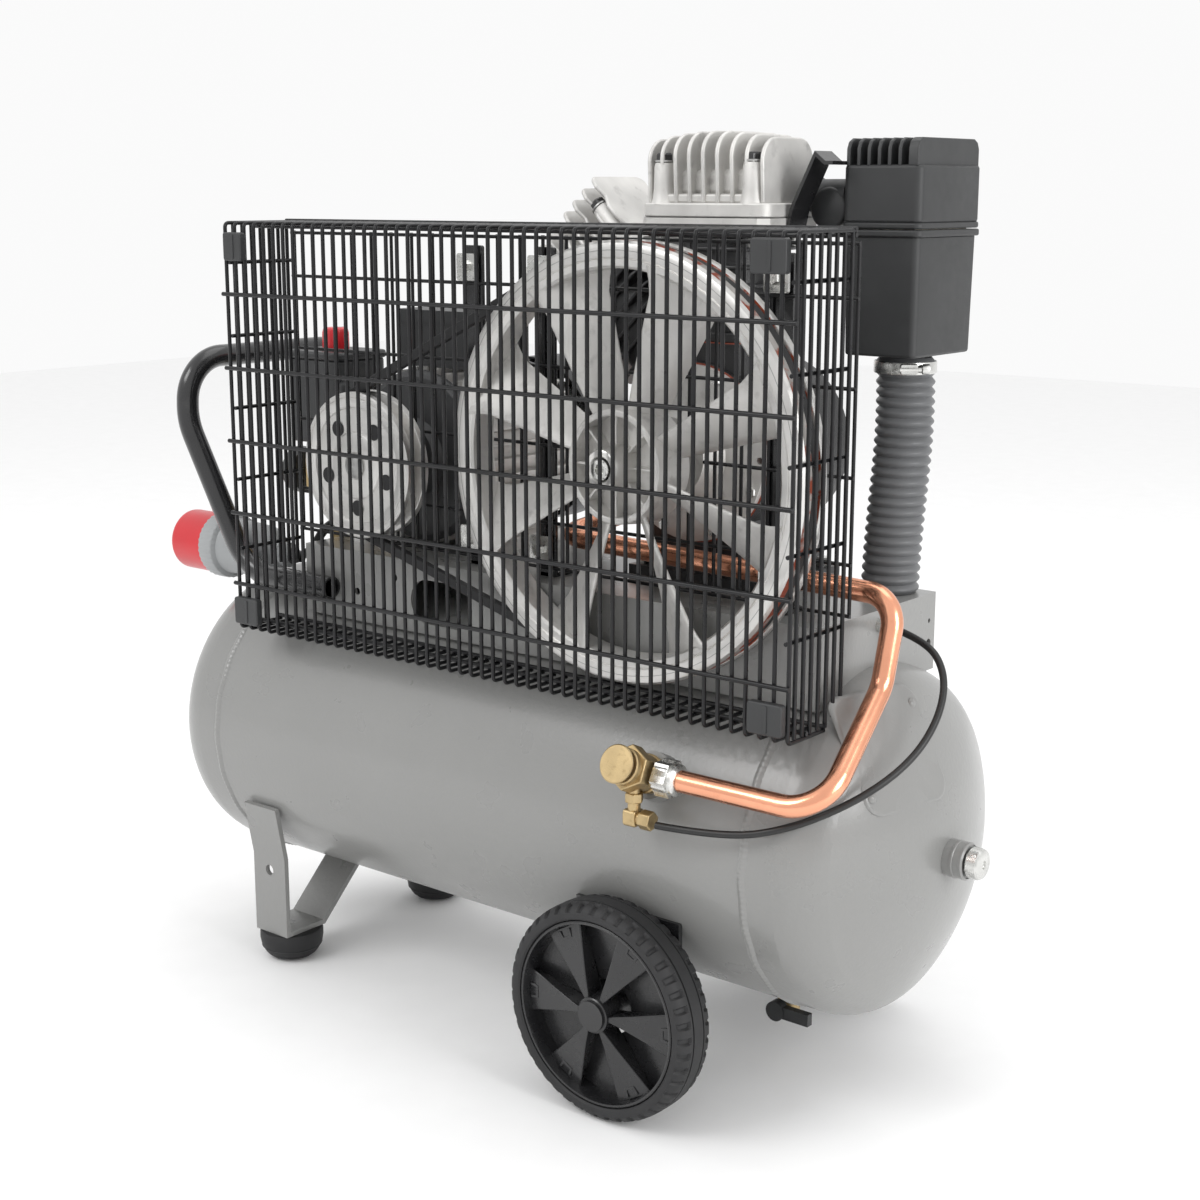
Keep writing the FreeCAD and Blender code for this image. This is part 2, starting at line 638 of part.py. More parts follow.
def push_handle():
    """One bent tube: two legs bolted to the platform's flanges and a crossbar."""
    top, left, wide = num("grip_top_z"), num("grip_left_x"), num("grip_half_y")
    foot_z = num("deck_top_z") - 37
    legs = []
    for side, sign in ((num("deck_front_y - grip_radius"), -1), (num("deck_back_y + grip_radius"), 1)):
        legs.append([V(-215, side, foot_z), V(-335, side, foot_z), V(left - 4, sign * wide, top - 63),
                     V(left, sign * wide, top)])
    points = legs[0] + legs[1][::-1]
    radii = {1: 55, 2: 60, 3: 42, 4: 42, 5: 60, 6: 55}
    path = rounded_path(points, lambda index, turn: radii[index])
    tube = tube_along(path, num("grip_radius"), num("grip_wall"))
    node("push_handle", formed("bent_tube", tube))


def motor():
    """Foot-mounted motor: finned housing, shields, rotor with fan, cowl, terminal box."""
    axis = ("motor_x", "-28", "motor_z")
    housing = new_body("motor_barrel")
    pad(housing, [], "138", [("0", "0", "76"), ("0", "0", "70")], name="barrel")
    fin = pad(housing, [("75", "-1.6"), ("85", "-1"), ("85", "1"), ("75", "1.6")], "138", name="fin")
    polar(housing, fin, 36)
    put(housing, *axis, turn="y")
    feet_parts = []
    for name, spot in (("left", "motor_x - 80"), ("right", "motor_x + 46")):
        foot = box("foot_" + name, ("34", "110", "12"), (spot, "-10", "deck_top_z"))
        rib_x = spot + (" + 22" if name == "left" else "")
        rib = box("rib_" + name, ("12", "110", "motor_z - deck_top_z - 50"), (rib_x, "-10", "deck_top_z"))
        feet_parts += [foot, rib]
    bore = rod("motor_bore", "70", "160", ("motor_x", "-40", "motor_z"), "y")
    node("motor_housing", cut("motor_case", fuse("motor_cast", housing, *feet_parts), bore))

    shields = []
    for name, spot, turn in (("drive", "-28", "front"), ("fan", "110", "back")):
        body = new_body("shield_" + name)
        gap = "shaft_radius + 0.2"
        seat = "26"
        if turn == "front":
            profile = [(gap, "-22"), ("34", "-22"), ("38", "-12"), ("76", "-8"), ("82", "-4"),
                       ("82", "0"), ("70", "0"), ("70", "-2"), (seat, "-2"), (seat, "-18"), (gap, "-18")]
        else:
            profile = [(gap, "22"), ("34", "22"), ("38", "12"), ("76", "8"), ("82", "4"),
                       ("82", "0"), ("70", "0"), ("70", "2"), (seat, "2"), (seat, "18"), (gap, "18")]
        revolve(body, profile)
        shields.append(put(body, "motor_x", spot, "motor_z", turn="y"))
    node("motor_end_shields", group("shields", *shields))

    stator = new_body("stator_core")
    revolve(stator, [("46", "0"), ("70", "0"), ("70", "100"), ("46", "100")])
    node("motor_stator", put(stator, "motor_x", "-8", "motor_z", turn="y"))

    rotor = new_body("rotor_shaft")
    revolve(rotor, [("0", "0"), ("shaft_radius", "0"), ("shaft_radius", "110"), ("45", "110"),
                    ("45", "210"), ("shaft_radius", "210"), ("shaft_radius", "286"), ("0", "286")])
    put(rotor, "motor_x", "belt_y - 14", "motor_z", turn="y")
    fan = new_body("rotor_fan")
    revolve(fan, [("shaft_radius", "0"), ("20", "0"), ("20", "4"), ("64", "4"), ("64", "7"),
                  ("20", "7"), ("20", "14"), ("shaft_radius", "14")])
    blade = pad(fan, [("22", "-1"), ("62", "-1"), ("62", "1"), ("22", "1")], "18", lift="6", name="blade")
    polar(fan, blade, 8)
    put(fan, "motor_x", "146", "motor_z", turn="y")
    node("motor_rotor", group("rotor_and_fan", rotor, fan))

    cowl = new_body("cowl")
    revolve(cowl, [("82.2", "0"), ("84", "0"), ("84", "46"), ("76", "56"), ("0", "56"),
                   ("0", "54"), ("75", "54"), ("82.2", "45")])
    doc.recompute()
    slots = pocket(cowl, [("0", "52", "6")], "12", lift="50", name="vents")
    polar(cowl, slots, 12, name="outer_vents")
    doc.recompute()
    slots = pocket(cowl, [("0", "32", "5")], "12", lift="50", name="vents_two")
    polar(cowl, slots, 8, name="inner_vents")
    node("motor_fan_cowl", put(cowl, "motor_x", "128", "motor_z", turn="y"))

    shell = box("terminal_shell", ("86", "90", "42"), ("motor_x - 36", "-20", "motor_z + 84"))
    lid = box("terminal_lid", ("90", "94", "12"), ("motor_x - 38", "-22", "motor_z + 126"))
    gland = rod("terminal_gland", "9", "22", ("motor_x - 58", "25", "motor_z + 104"), "x")
    round_off = rod("terminal_seat", "85.2", "200", ("motor_x", "-60", "motor_z"), "y")
    node("motor_terminal_box", cut("terminal_box", fuse("terminal", shell, lid, gland), round_off))


def groove(rim, centre, sign="+"):
    """The points of a V groove going up the body's axis."""
    return [(rim, centre + " - groove_half"), (rim + " - groove_depth", centre + " - groove_floor"),
            (rim + " - groove_depth", centre + " + groove_floor"), (rim, centre + " + groove_half")]


def belt_drive():
    """Pulley, belt and fan flywheel, all in one belt plane."""
    pulley = new_body("pulley_disc")
    middle = "pulley_width / 2"
    profile = [("shaft_radius", "0"), ("30", "0"), ("32", "2"), ("54", "2"), ("58", "0"),
               ("pulley_radius - 2", "0"), ("pulley_radius", "2")]
    profile += groove("pulley_radius", middle)
    profile += [("pulley_radius", "pulley_width"), ("pulley_radius - 14", "pulley_width"),
                ("pulley_radius - 16", "10"), ("26", "10"), ("24", "pulley_width"),
                ("shaft_radius", "pulley_width")]
    revolve(pulley, profile)
    doc.recompute()
    holes = pocket(pulley, [("0", "40", "6.5")], "20", lift="-1", name="web_hole")
    polar(pulley, holes, 5, name="web_holes")
    node("motor_pulley", put(pulley, "motor_x", "belt_y - pulley_width / 2", "motor_z", turn="y"))

    small = V(num("motor_x"), 0, num("motor_z"))
    large = V(num("crank_x"), 0, num("crank_z"))
    depth = num("belt_depth")
    rings = []
    for inset in (0, depth):
        rings.append(belt_loop(small, num("pulley_radius") - 0.5 - inset,
                               large, num("flywheel_radius") - 2.5 - inset))
    width = num("belt_width")
    band = rings[0].extrude(V(0, width, 0)).cut(rings[1].extrude(V(0, width, 0)))
    band.translate(V(0, num("belt_y") - width / 2, 0))
    node("drive_belt", formed("belt_band", band))

    node("flywheel", formed("fan_flywheel", flywheel_shape()))
    head = bar(9, V(num("crank_x"), num("belt_y") - 42, num("crank_z")), V(0, 1, 0), 10)
    socket = bar(4.5, V(num("crank_x"), num("belt_y") - 42, num("crank_z")), V(0, 1, 0), 7)
    shank = bar(5, V(num("crank_x"), num("belt_y") - 32, num("crank_z")), V(0, 1, 0), 30)
    node("flywheel_bolt", formed("hub_screw", head.cut(socket).fuse(shank)))


def belt_loop(small, r_small, large, r_large):
    """The face inside an open belt round two pulleys."""
    gap = large - small
    along = V(gap.x, gap.y, gap.z).normalize()
    lean = math.degrees(math.acos(-(r_large - r_small) / gap.Length))
    normals = []
    for sign in (1, -1):
        turn = FreeCAD.Rotation(V(0, 1, 0), -sign * lean)
        normals.append(turn.multVec(along))
    upper, lower = normals
    corners = [small + upper * r_small, large + upper * r_large,
               large + lower * r_large, small + lower * r_small]
    edges = [Part.LineSegment(corners[0], corners[1]).toShape(),
             Part.Arc(corners[1], large + along * r_large, corners[2]).toShape(),
             Part.LineSegment(corners[2], corners[3]).toShape(),
             Part.Arc(corners[3], small - along * r_small, corners[0]).toShape()]
    return Part.Face(Part.Wire(edges))


def ring_about_crank(profile):
    """Turn (radius, y) points about the crankshaft's axis."""
    centre = V(num("crank_x"), 0, num("crank_z"))
    points = [centre + V(radius, y, 0) for radius, y in profile]
    face = Part.Face(Part.makePolygon(points + [points[0]]))
    return face.revolve(centre, V(0, 1, 0), 360)


def flywheel_shape():
    """Rim with a belt groove, eight twisted blades, a cone hub with ribs, and a boss."""
    mid = num("belt_y")
    radius, inner = num("flywheel_radius"), num("rim_inner")
    front, back = mid - 20, mid + num("flywheel_width") - 20
    deep, half, floor = num("groove_depth") + 2, num("groove_half"), num("groove_floor")
    rim = ring_about_crank([(inner, front + 2), (inner + 6, front), (radius - 7, front),
                            (radius, front + 5), (radius, mid - half), (radius - deep, mid - floor),
                            (radius - deep, mid + floor), (radius, mid + half), (radius, back),
                            (inner + 4, back), (inner, back - 4)])
    hub = num("hub_radius")
    boss, bore = num("boss_radius"), num("crank_radius")
    cup = ring_about_crank([(bore, back - 8), (hub - 6, back - 8), (hub - 8, front - 4),
                            (hub - 4, front - 4), (hub, back - 10), (hub, back), (bore, back)])
    stem = ring_about_crank([(5, front - 12), (5, front - 10), (bore, front - 10), (bore, back),
                             (boss + 3, back), (boss, front - 20), (9.2, front - 20), (9.2, front - 12)])
    centre = V(num("crank_x"), 0, num("crank_z"))
    middle = cup.fuse(stem)
    blades = []
    for index in range(8):
        rib = Part.makeBox(hub - 6 - boss + 3, back - front - 4, 3.5,
                           centre + V(boss - 1, front + 1, -1.75))
        rib.rotate(centre, V(0, 1, 0), 45 * index)
        middle = middle.fuse(rib)
        blade = blade_shape(hub - 3, inner + 3, (front + back) / 2)
        blade.translate(centre)
        blade.rotate(centre, V(0, 1, 0), 45 * index + 22.5)
        blades.append(blade)
    return middle.multiFuse(blades).fuse(rim)


def blade_shape(r_in, r_out, mid_y):
    """A twisted flat blade along X: steep and narrow at the hub, flatter and wide at the rim."""
    loops = []
    for radius, chord, pitch in ((r_in, 30, 52), (r_out, 60, 28)):
        lean = math.radians(pitch)
        wide = V(0, -math.sin(lean), math.cos(lean)) * (chord / 2)
        thin = V(0, math.cos(lean), math.sin(lean)) * 2
        middle = V(radius, mid_y, 0)
        corners = [middle - wide - thin, middle + wide - thin, middle + wide + thin,
                   middle - wide + thin]
        loops.append(Part.makePolygon(corners + [corners[0]]))
    return Part.makeLoft(loops, True, True)


def crank_place(tilted, plane):
    """A placement at the crank axis, upright or tilted to the left."""
    angle = -num("barrel_tilt") if tilted else 0
    spot = V(num("crank_x"), num(plane), num("crank_z"))
    return FreeCAD.Placement(spot, FreeCAD.Rotation(V(0, 1, 0), angle))


def crankcase():
    """Cast case with two cylinder seats, a front cover that holds a bearing, a sight glass."""
    front, back = num("case_front_y"), num("case_back_y")
    radius, wall = num("case_radius"), num("case_wall")
    centre = V(num("crank_x"), 0, num("crank_z"))
    length = back - front
    case = bar(radius, centre + V(0, front, 0), V(0, 1, 0), length)
    foot_z = num("deck_top_z")
    foot = Part.makeBox(150, length - 10, 10, V(centre.x - 75, front + 5, foot_z))
    web = Part.makeBox(110, length - 16, centre.z - foot_z - 40, V(centre.x - 55, front + 8, foot_z))
    case = case.multiFuse([foot, web])
    hollow = bar(radius - wall, centre + V(0, front - 1, 0), V(0, 1, 0), length - wall + 1)
    seat_half = num("barrel_foot") * math.tan(math.radians(num("barrel_tilt") / 2)) - 0.4
    bores = []
    for tilted, plane in ((False, "barrel_one_y"), (True, "barrel_two_y")):
        place = crank_place(tilted, plane)
        seat = Part.makeBox(2 * seat_half, 86, num("barrel_foot") - 30, V(-seat_half, -43, 30))
        seat.Placement = place
        case = case.fuse(seat)
        bore = Part.makeCylinder(num("barrel_bore"), num("barrel_foot") + 2, V(0, 0, 0))
        bore.Placement = place
        bores.append(bore)
    case = case.cut(hollow).cut(bores[0]).cut(bores[1])
    seat_ring = bar(34, centre + V(0, 88, 0), V(0, 1, 0), 14).cut(
        bar(26, centre + V(0, 80, 0), V(0, 1, 0), 24))
    case = case.fuse(seat_ring)
    node("crankcase", formed("case_casting", case.removeSplitter()))

    cover = new_body("front_cover")
    gap = "crank_radius + 0.1"
    revolve(cover, [("case_radius - case_wall - 0.05", "4"), ("case_radius - case_wall - 0.05", "0"),
                    ("case_radius - 2", "0"), ("case_radius - 2", "-6"), ("40", "-10"),
                    ("34", "-34"), (gap, "-34"), (gap, "-30"), ("26", "-30"),
                    ("26", "-4"), ("32", "4")])
    doc.recompute()
    screws = pocket(cover, [("0", "case_radius - 6", "3")], "20", lift="-12", name="cover_screw")
    polar(cover, screws, 8, name="cover_screws")
    node("crankcase_cover", put(cover, "crank_x", "case_front_y", "crank_z", turn="y"))

    glass = new_body("sight_glass")
    revolve(glass, [("0", "0"), ("13", "0"), ("13", "5"), ("9", "8"), ("0", "6")])
    node("oil_sight_glass", put(glass, "crank_x + case_radius - 2.6", "48", "crank_z - 34", turn="x"))


def shafts():
    """Crankshaft in two ball bearings; the motor's two bearings share their node."""
    centre = V(num("crank_x"), 0, num("crank_z"))
    radius, throw = num("crank_radius"), num("crank_throw")
    front = num("belt_y") - 30
    shaft = bar(radius, centre + V(0, front, 0), V(0, 1, 0), 6 - front)
    shaft = shaft.cut(bar(5, centre + V(0, front - 1, 0), V(0, 1, 0), 29.1))
    web = throw + num("pin_radius")
    shaft = shaft.multiFuse([
        bar(web, centre + V(0, 4, 0), V(0, 1, 0), 10),
        bar(num("pin_radius"), centre + V(0, 12, throw), V(0, 1, 0), 64),
        bar(web, centre + V(0, 74, 0), V(0, 1, 0), 10),
        bar(radius, centre + V(0, 82, 0), V(0, 1, 0), 17)])
    node("crankshaft", formed("crank", shaft.removeSplitter()))
    rings = []
    places = (("front", "crank_x", "case_front_y - 30", "crank_z", "crank_radius", "14"),
              ("back", "crank_x", "88", "crank_z", "crank_radius", "10"),
              ("drive", "motor_x", "-46", "motor_z", "shaft_radius", "14"),
              ("fan", "motor_x", "113", "motor_z", "shaft_radius", "14"))
    for name, x, y, z, shaft_size, width in places:
        body = new_body("bearing_" + name)
        revolve(body, [(shaft_size + " + bearing_gap", "0"), ("26", "0"), ("26", width),
                       (shaft_size + " + bearing_gap", width)])
        rings.append(put(body, x, y, z, turn="y"))
    node("ball_bearings", group("bearings", *rings))


def barrels():
    """Pistons, rods, finned cylinders, valve plates and finned heads of both cylinders."""
    parts = {"pistons": [], "rods": [], "plates": [], "bolts": []}
    for name, tilted, plane in (("upright", False, "barrel_one_y"), ("tilted", True, "barrel_two_y")):
        place = crank_place(tilted, plane)
        cylinder = barrel_body(name)
        cylinder.Placement = place
        node("cylinder_" + name, cylinder)
        head = head_body(name)
        head.Placement = place
        node("head_" + name, head)
        plate = new_body("plate_" + name)
        pad(plate, clipped("head_width / 2", "head_depth / 2", "8"), "plate_gauge", bolt_holes("4.3"),
            lift="barrel_top")
        plate.Placement = place
        parts["plates"].append(plate)
        parts["pistons"] += [placed("piston_" + name, piston_shape(), place),
                             placed("gudgeon_" + name, bar(8, V(0, -26, 158), V(0, 1, 0), 52), place)]
        parts["rods"].append(placed("rod_" + name, rod_shape(), place))
        parts["bolts"] += head_screws(name, place)
    node("pistons_and_rods", group("piston_pair", *(parts["pistons"] + parts["rods"])))
    node("valve_plates", group("plate_pair", *parts["plates"]))
    node("head_bolts", group("bolt_set", *parts["bolts"]))


def placed(name, shape, place):
    thing = formed(name, shape)
    thing.Placement = place
    return thing


def bolt_holes(radius):
    return [(u, v, radius) for u in ("-bolt_x", "bolt_x") for v in ("-bolt_y", "bolt_y")]


def barrel_body(name):
    """A cylinder: liner, base flange, six square fins and a top flange."""
    body = new_body("barrel_" + name)
    reach = "barrel_foot * tan(barrel_tilt / 2) - 1"
    pad(body, clipped(reach, "42", "6"), "8", lift="barrel_foot", name="base_flange")
    pad(body, [], "barrel_top - barrel_foot", [("0", "0", "barrel_bore + barrel_wall")],
        lift="barrel_foot", name="liner")
    for index in range(5):
        at = "barrel_foot + 17 + %d" % (15 * index)
        wide = "51" if index else "44"
        pad(body, clipped(wide, "43", "12"), "4", lift=at, name="fin%d" % index)
    pad(body, clipped("head_width / 2 - 6", "head_depth / 2", "12"), "8", lift="barrel_top - 8",
        name="top_flange")
    doc.recompute()
    pocket(body, [("0", "0", "barrel_bore")], "barrel_top", lift="10", name="bore")
    doc.recompute()
    pocket(body, bolt_holes("4.3"), "30", lift="barrel_top - 20", name="bolt_holes")
    return body


def head_body(name):
    """A cylinder head: base plate, core, eight standing fins and four bolt pillars."""
    body = new_body("head_body_" + name)
    foot = "barrel_top + plate_gauge"
    pad(body, clipped("head_width / 2", "head_depth / 2", "10"), "12", lift=foot, name="base")
    pad(body, clipped("head_width / 2 - 18", "head_depth / 2 - 14", "8"), "30", lift=foot + " + 10",
        name="core")
    pad(body, [], "36", bolt_pillars(), lift=foot + " + 10", name="pillars")
    low, high = foot + " + 11", foot + " + head_height"
    half = "head_depth / 2 - 2"
    fin = pad(body, [("-(%s)" % half, low), (half, low), (half, high + " - 22"), (half + " - 5", high + " - 11"),
                     (half + " - 14", high + " - 3"), (half + " - 26", high), ("-(%s) + 26" % half, high),
                     ("-(%s) + 14" % half, high + " - 3"), ("-(%s) + 5" % half, high + " - 11"),
                     ("-(%s)" % half, high + " - 22")],
              "4", lift="-head_width / 2 + 5", plane="YZ_Plane", name="fin")
    linear(body, fin, "X_Axis", "head_width - 14", 8, name="fins")
    doc.recompute()
    pocket(body, bolt_holes("4.3"), "60", lift=foot + " - 1", name="bolt_holes")
    pocket(body, bolt_holes("8.2"), "40", lift=foot + " + 46", name="spanner_room")
    return body


def bolt_pillars():
    return [(u, v, "8") for u in ("-bolt_x", "bolt_x") for v in ("-bolt_y", "bolt_y")]


def piston_shape():
    """A hollow piston just under top dead centre, with its pin hole."""
    low, high = 140, num("barrel_top") - 2
    outer = Part.makeCylinder(num("barrel_bore") - 0.05, high - low, V(0, 0, low))
    hollow = Part.makeCylinder(27, high - low - 8, V(0, 0, low))
    return outer.cut(hollow).cut(bar(8, V(0, -50, 158), V(0, 1, 0), 100))


def rod_shape():
    """A rod from the piston pin down to the open seat just above the crank pin's path."""
    clear = num("crank_throw + pin_radius") + 2.2
    eye = bar(14, V(0, -8, 158), V(0, 1, 0), 16)
    shank = Part.makeBox(14, 12, 158 - clear, V(-7, -6, clear))
    seat = Part.makeBox(34, 16, 16, V(-17, -8, clear - 4))
    whole = eye.fuse(shank).fuse(seat)
    whole = whole.cut(bar(8, V(0, -50, 158), V(0, 1, 0), 100))
    return whole.cut(bar(clear, V(0, -50, 0), V(0, 1, 0), 100)).removeSplitter()


def head_screws(name, place):
    """Four long screws with hexagon heads on each cylinder head's pillars."""
    top = num("barrel_top + plate_gauge") + 46
    screws = []
    spots = [(u, v) for u in (-1, 1) for v in (-1, 1)]
    for index, (u, v) in enumerate(spots):
        x, y = u * num("bolt_x"), v * num("bolt_y")
        shank = Part.makeCylinder(4, top - num("barrel_top") + 18, V(x, y, num("barrel_top") - 18))
        corners = [V(x + 7.5 * math.cos(k * math.pi / 3), y + 7.5 * math.sin(k * math.pi / 3), top)
                   for k in range(7)]
        cap = Part.Face(Part.makePolygon(corners)).extrude(V(0, 0, 6))
        screws.append(placed("screw_%s_%d" % (name, index), shank.fuse(cap), place))
    return screws


def intake():
    """Filter box and lid, elbow to the head, strap, hose down to the platform, clamp."""
    x0, y0 = "filter_x - filter_width / 2", "filter_y - filter_depth / 2"
    outer = box("filter_outer", ("filter_width", "filter_depth", "filter_rim_z - filter_low_z"),
                (x0, y0, "filter_low_z"))
    rim = box("filter_rim", ("filter_width + 6", "filter_depth + 6", "6"),
              (x0 + " - 3", y0 + " - 3", "filter_rim_z"))
    spout = rod("filter_spout", "hose_radius - 5.2", "26", ("filter_x", "hose_y", "filter_low_z - 24"))
    hollow = box("filter_hollow", ("filter_width - 5", "filter_depth - 5", "filter_rim_z - filter_low_z + 8"),
                 (x0 + " + 2.5", y0 + " + 2.5", "filter_low_z + 2.5"))
    throat = rod("filter_throat", "hose_radius - 8", "40", ("filter_x", "hose_y", "filter_low_z - 30"))
    node("air_filter_body", cut("filter_base", fuse("filter_shell", outer, rim, spout), hollow, throat))

    cap = box("lid_outer", ("filter_width + 6", "filter_depth + 6", "filter_top_z - filter_rim_z - 6"),
              (x0 + " - 3", y0 + " - 3", "filter_rim_z + 6"))
    combs = []
    for index in range(7):
        spot = x0 + " + %.1f" % (2.4 + 10.5 * index)
        combs.append(box("comb%d" % index, ("3.6", "filter_depth - 4", "23"),
                         (spot, y0 + " + 2", "filter_top_z - 1")))
    room = box("lid_room", ("filter_width - 2", "filter_depth - 2", "filter_top_z - filter_rim_z - 9"),
               (x0 + " + 1", y0 + " + 1", "filter_rim_z + 5.5"))
    port = rod("lid_port", "10", "30", (x0 + " - 20", "filter_y - 30", "filter_rim_z + 34"), "x")
    node("air_filter_lid", cut("filter_cap", fuse("lid_shell", cap, *combs), room, port))

    element = box("element_block", ("filter_width - 14", "filter_depth - 14", "60"),
                  (x0 + " + 7", y0 + " + 7", "filter_rim_z - 45"))
    node("filter_element", element)

    head_side = "crank_x + head_width / 2"
    elbow_y = "filter_y - 30"
    tube = rod("elbow_tube", "13", x0 + " - 3 - (" + head_side + ")", (head_side, elbow_y, "filter_rim_z + 34"), "x")
    flange = rod("elbow_flange", "15", "8", (head_side, elbow_y, "filter_rim_z + 34"), "x")
    way = rod("elbow_way", "10", "80", (head_side + " - 5", elbow_y, "filter_rim_z + 34"), "x")
    node("intake_elbow", cut("elbow", fuse("elbow_body", tube, flange), way))

    start = V(num(head_side), 0, num("crank_z + barrel_top") + 2)
    rise = V(num(x0) - 3, 0, num("filter_top_z"))
    line = [start + V(2, 0, 0), start + V(5, 0, 14), V(start.x + 27, 0, rise.z + 9),
            V(rise.x - 3, 0, rise.z + 1.6), V(rise.x + 4.5, 0, rise.z + 1.6)]
    strap = strip(line, 3, 26, V(0, num("filter_y") - 72, 0), V(0, 1, 0))
    node("filter_strap", formed("strap_bent", strap))

    hose = new_body("hose_body")
    ribs = [("hose_radius - 5", "0")]
    count = 24
    for index in range(count):
        low = "(filter_low_z - 2 - deck_top_z) * %d / %d" % (index, count)
        high = "(filter_low_z - 2 - deck_top_z) * %.1f / %d" % (index + 0.5, count)
        ribs += [("hose_radius - 2.5", low), ("hose_radius", high)]
    top = "filter_low_z - 2 - deck_top_z"
    ribs += [("hose_radius - 2.5", top), ("hose_radius - 5", top)]
    revolve(hose, ribs)
    node("intake_hose", put(hose, "filter_x", "hose_y", "deck_top_z"))

    clamp = new_body("clamp_band")
    revolve(clamp, [("hose_radius + 0.2", "0"), ("hose_radius + 1.6", "0"),
                    ("hose_radius + 1.6", "10"), ("hose_radius + 0.2", "10")])
    put(clamp, "filter_x", "hose_y", "filter_low_z - 16")
    lug = box("clamp_screw", ("16", "7", "8"),
              ("filter_x - 8", "hose_y - hose_radius - 8.4", "filter_low_z - 15"))
    node("hose_clamp", fuse("clamp", clamp, lug))


def delivery():
    """Copper pipe from the tilted head round to the check valve, with its nuts."""
    radius = num("pipe_radius")
    out = radial(num("valve_angle"))
    base = V(num("valve_x"), 0, num("tank_axis_z"))
    inlet = base + out * (num("tank_radius") + 28)
    points = [V(-38, 110, 728), V(-38, 146, 712), V(30, 146, 480), V(30, -45, 464),
              V(375, -45, 454), V(375, -64, 385), V(384, inlet.y, inlet.z), inlet + V(34, 0, 0)]
    radii = {1: 16, 2: 34, 3: 26, 4: 26, 5: 26, 6: 34}
    path = rounded_path(points, lambda index, turn: radii[index])
    node("delivery_pipe", formed("copper_pipe", tube_along(path, radius, num("pipe_wall"))))

    nuts = []
    ends = ((inlet + V(20, 0, 0), V(1, 0, 0)), (points[0], (points[1] - points[0]).normalize()))
    for index, (spot, ahead) in enumerate(ends):
        corners = []
        side = ahead.cross(V(0, 0, 1) if abs(ahead.z) < 0.9 else V(1, 0, 0)).normalize()
        for k in range(7):
            spin = FreeCAD.Rotation(ahead, 60 * k)
            corners.append(spot + spin.multVec(side) * 16)
        nut = Part.Face(Part.makePolygon(corners)).extrude(ahead * 14)
        nut = nut.cut(bar(radius, spot - ahead * 5, ahead, 60))
        nuts.append(formed("pipe_nut%d" % index, nut))

    start = base + out * (num("tank_radius") + 2)
    body = bar(9.6, start, out, 14).fuse(bar(15, base + out * (num("tank_radius") + 14.2), out, 38))
    body = body.fuse(bar(18, base + out * (num("tank_radius") + 52), out, 12))
    body = body.fuse(bar(9, inlet, V(1, 0, 0), 20))
    down = V(0, 0, -1)
    branch = inlet + out * 10
    body = body.fuse(bar(7, branch, down, 48.5))
    body = body.fuse(bar(5.5, branch + down * 40, V(1, 0, 0), 22))
    node("check_valve", formed("valve_body", body.removeSplitter()))

    hose_start = branch + down * 40 + V(22.8, 0, 0)
    route = hose_route(hose_start)
    node("unloader_hose", formed("thin_hose", cord_along("unloader_hose", route, num("small_hose"))))
    end = route[-1]
    fitting = bar(6, end - V(1, 0, 0), V(-1, 0, 0), end.x - 1 - num("deck_right_x"))
    nuts.append(formed("bulkhead_fitting", fitting))
    node("pipe_fittings", group("nuts", *nuts))


def hose_route(start):
    """The unloader hose bows round the receiver's right end, up to the platform's flange."""
    return [start, V(292, -160, 268), V(345, -150, 283), V(385, -112, 305), V(406, -68, 330),
            V(411, -34, 360), V(403, -12, 390), V(378, 0, 411), V(341, 4, 416)]


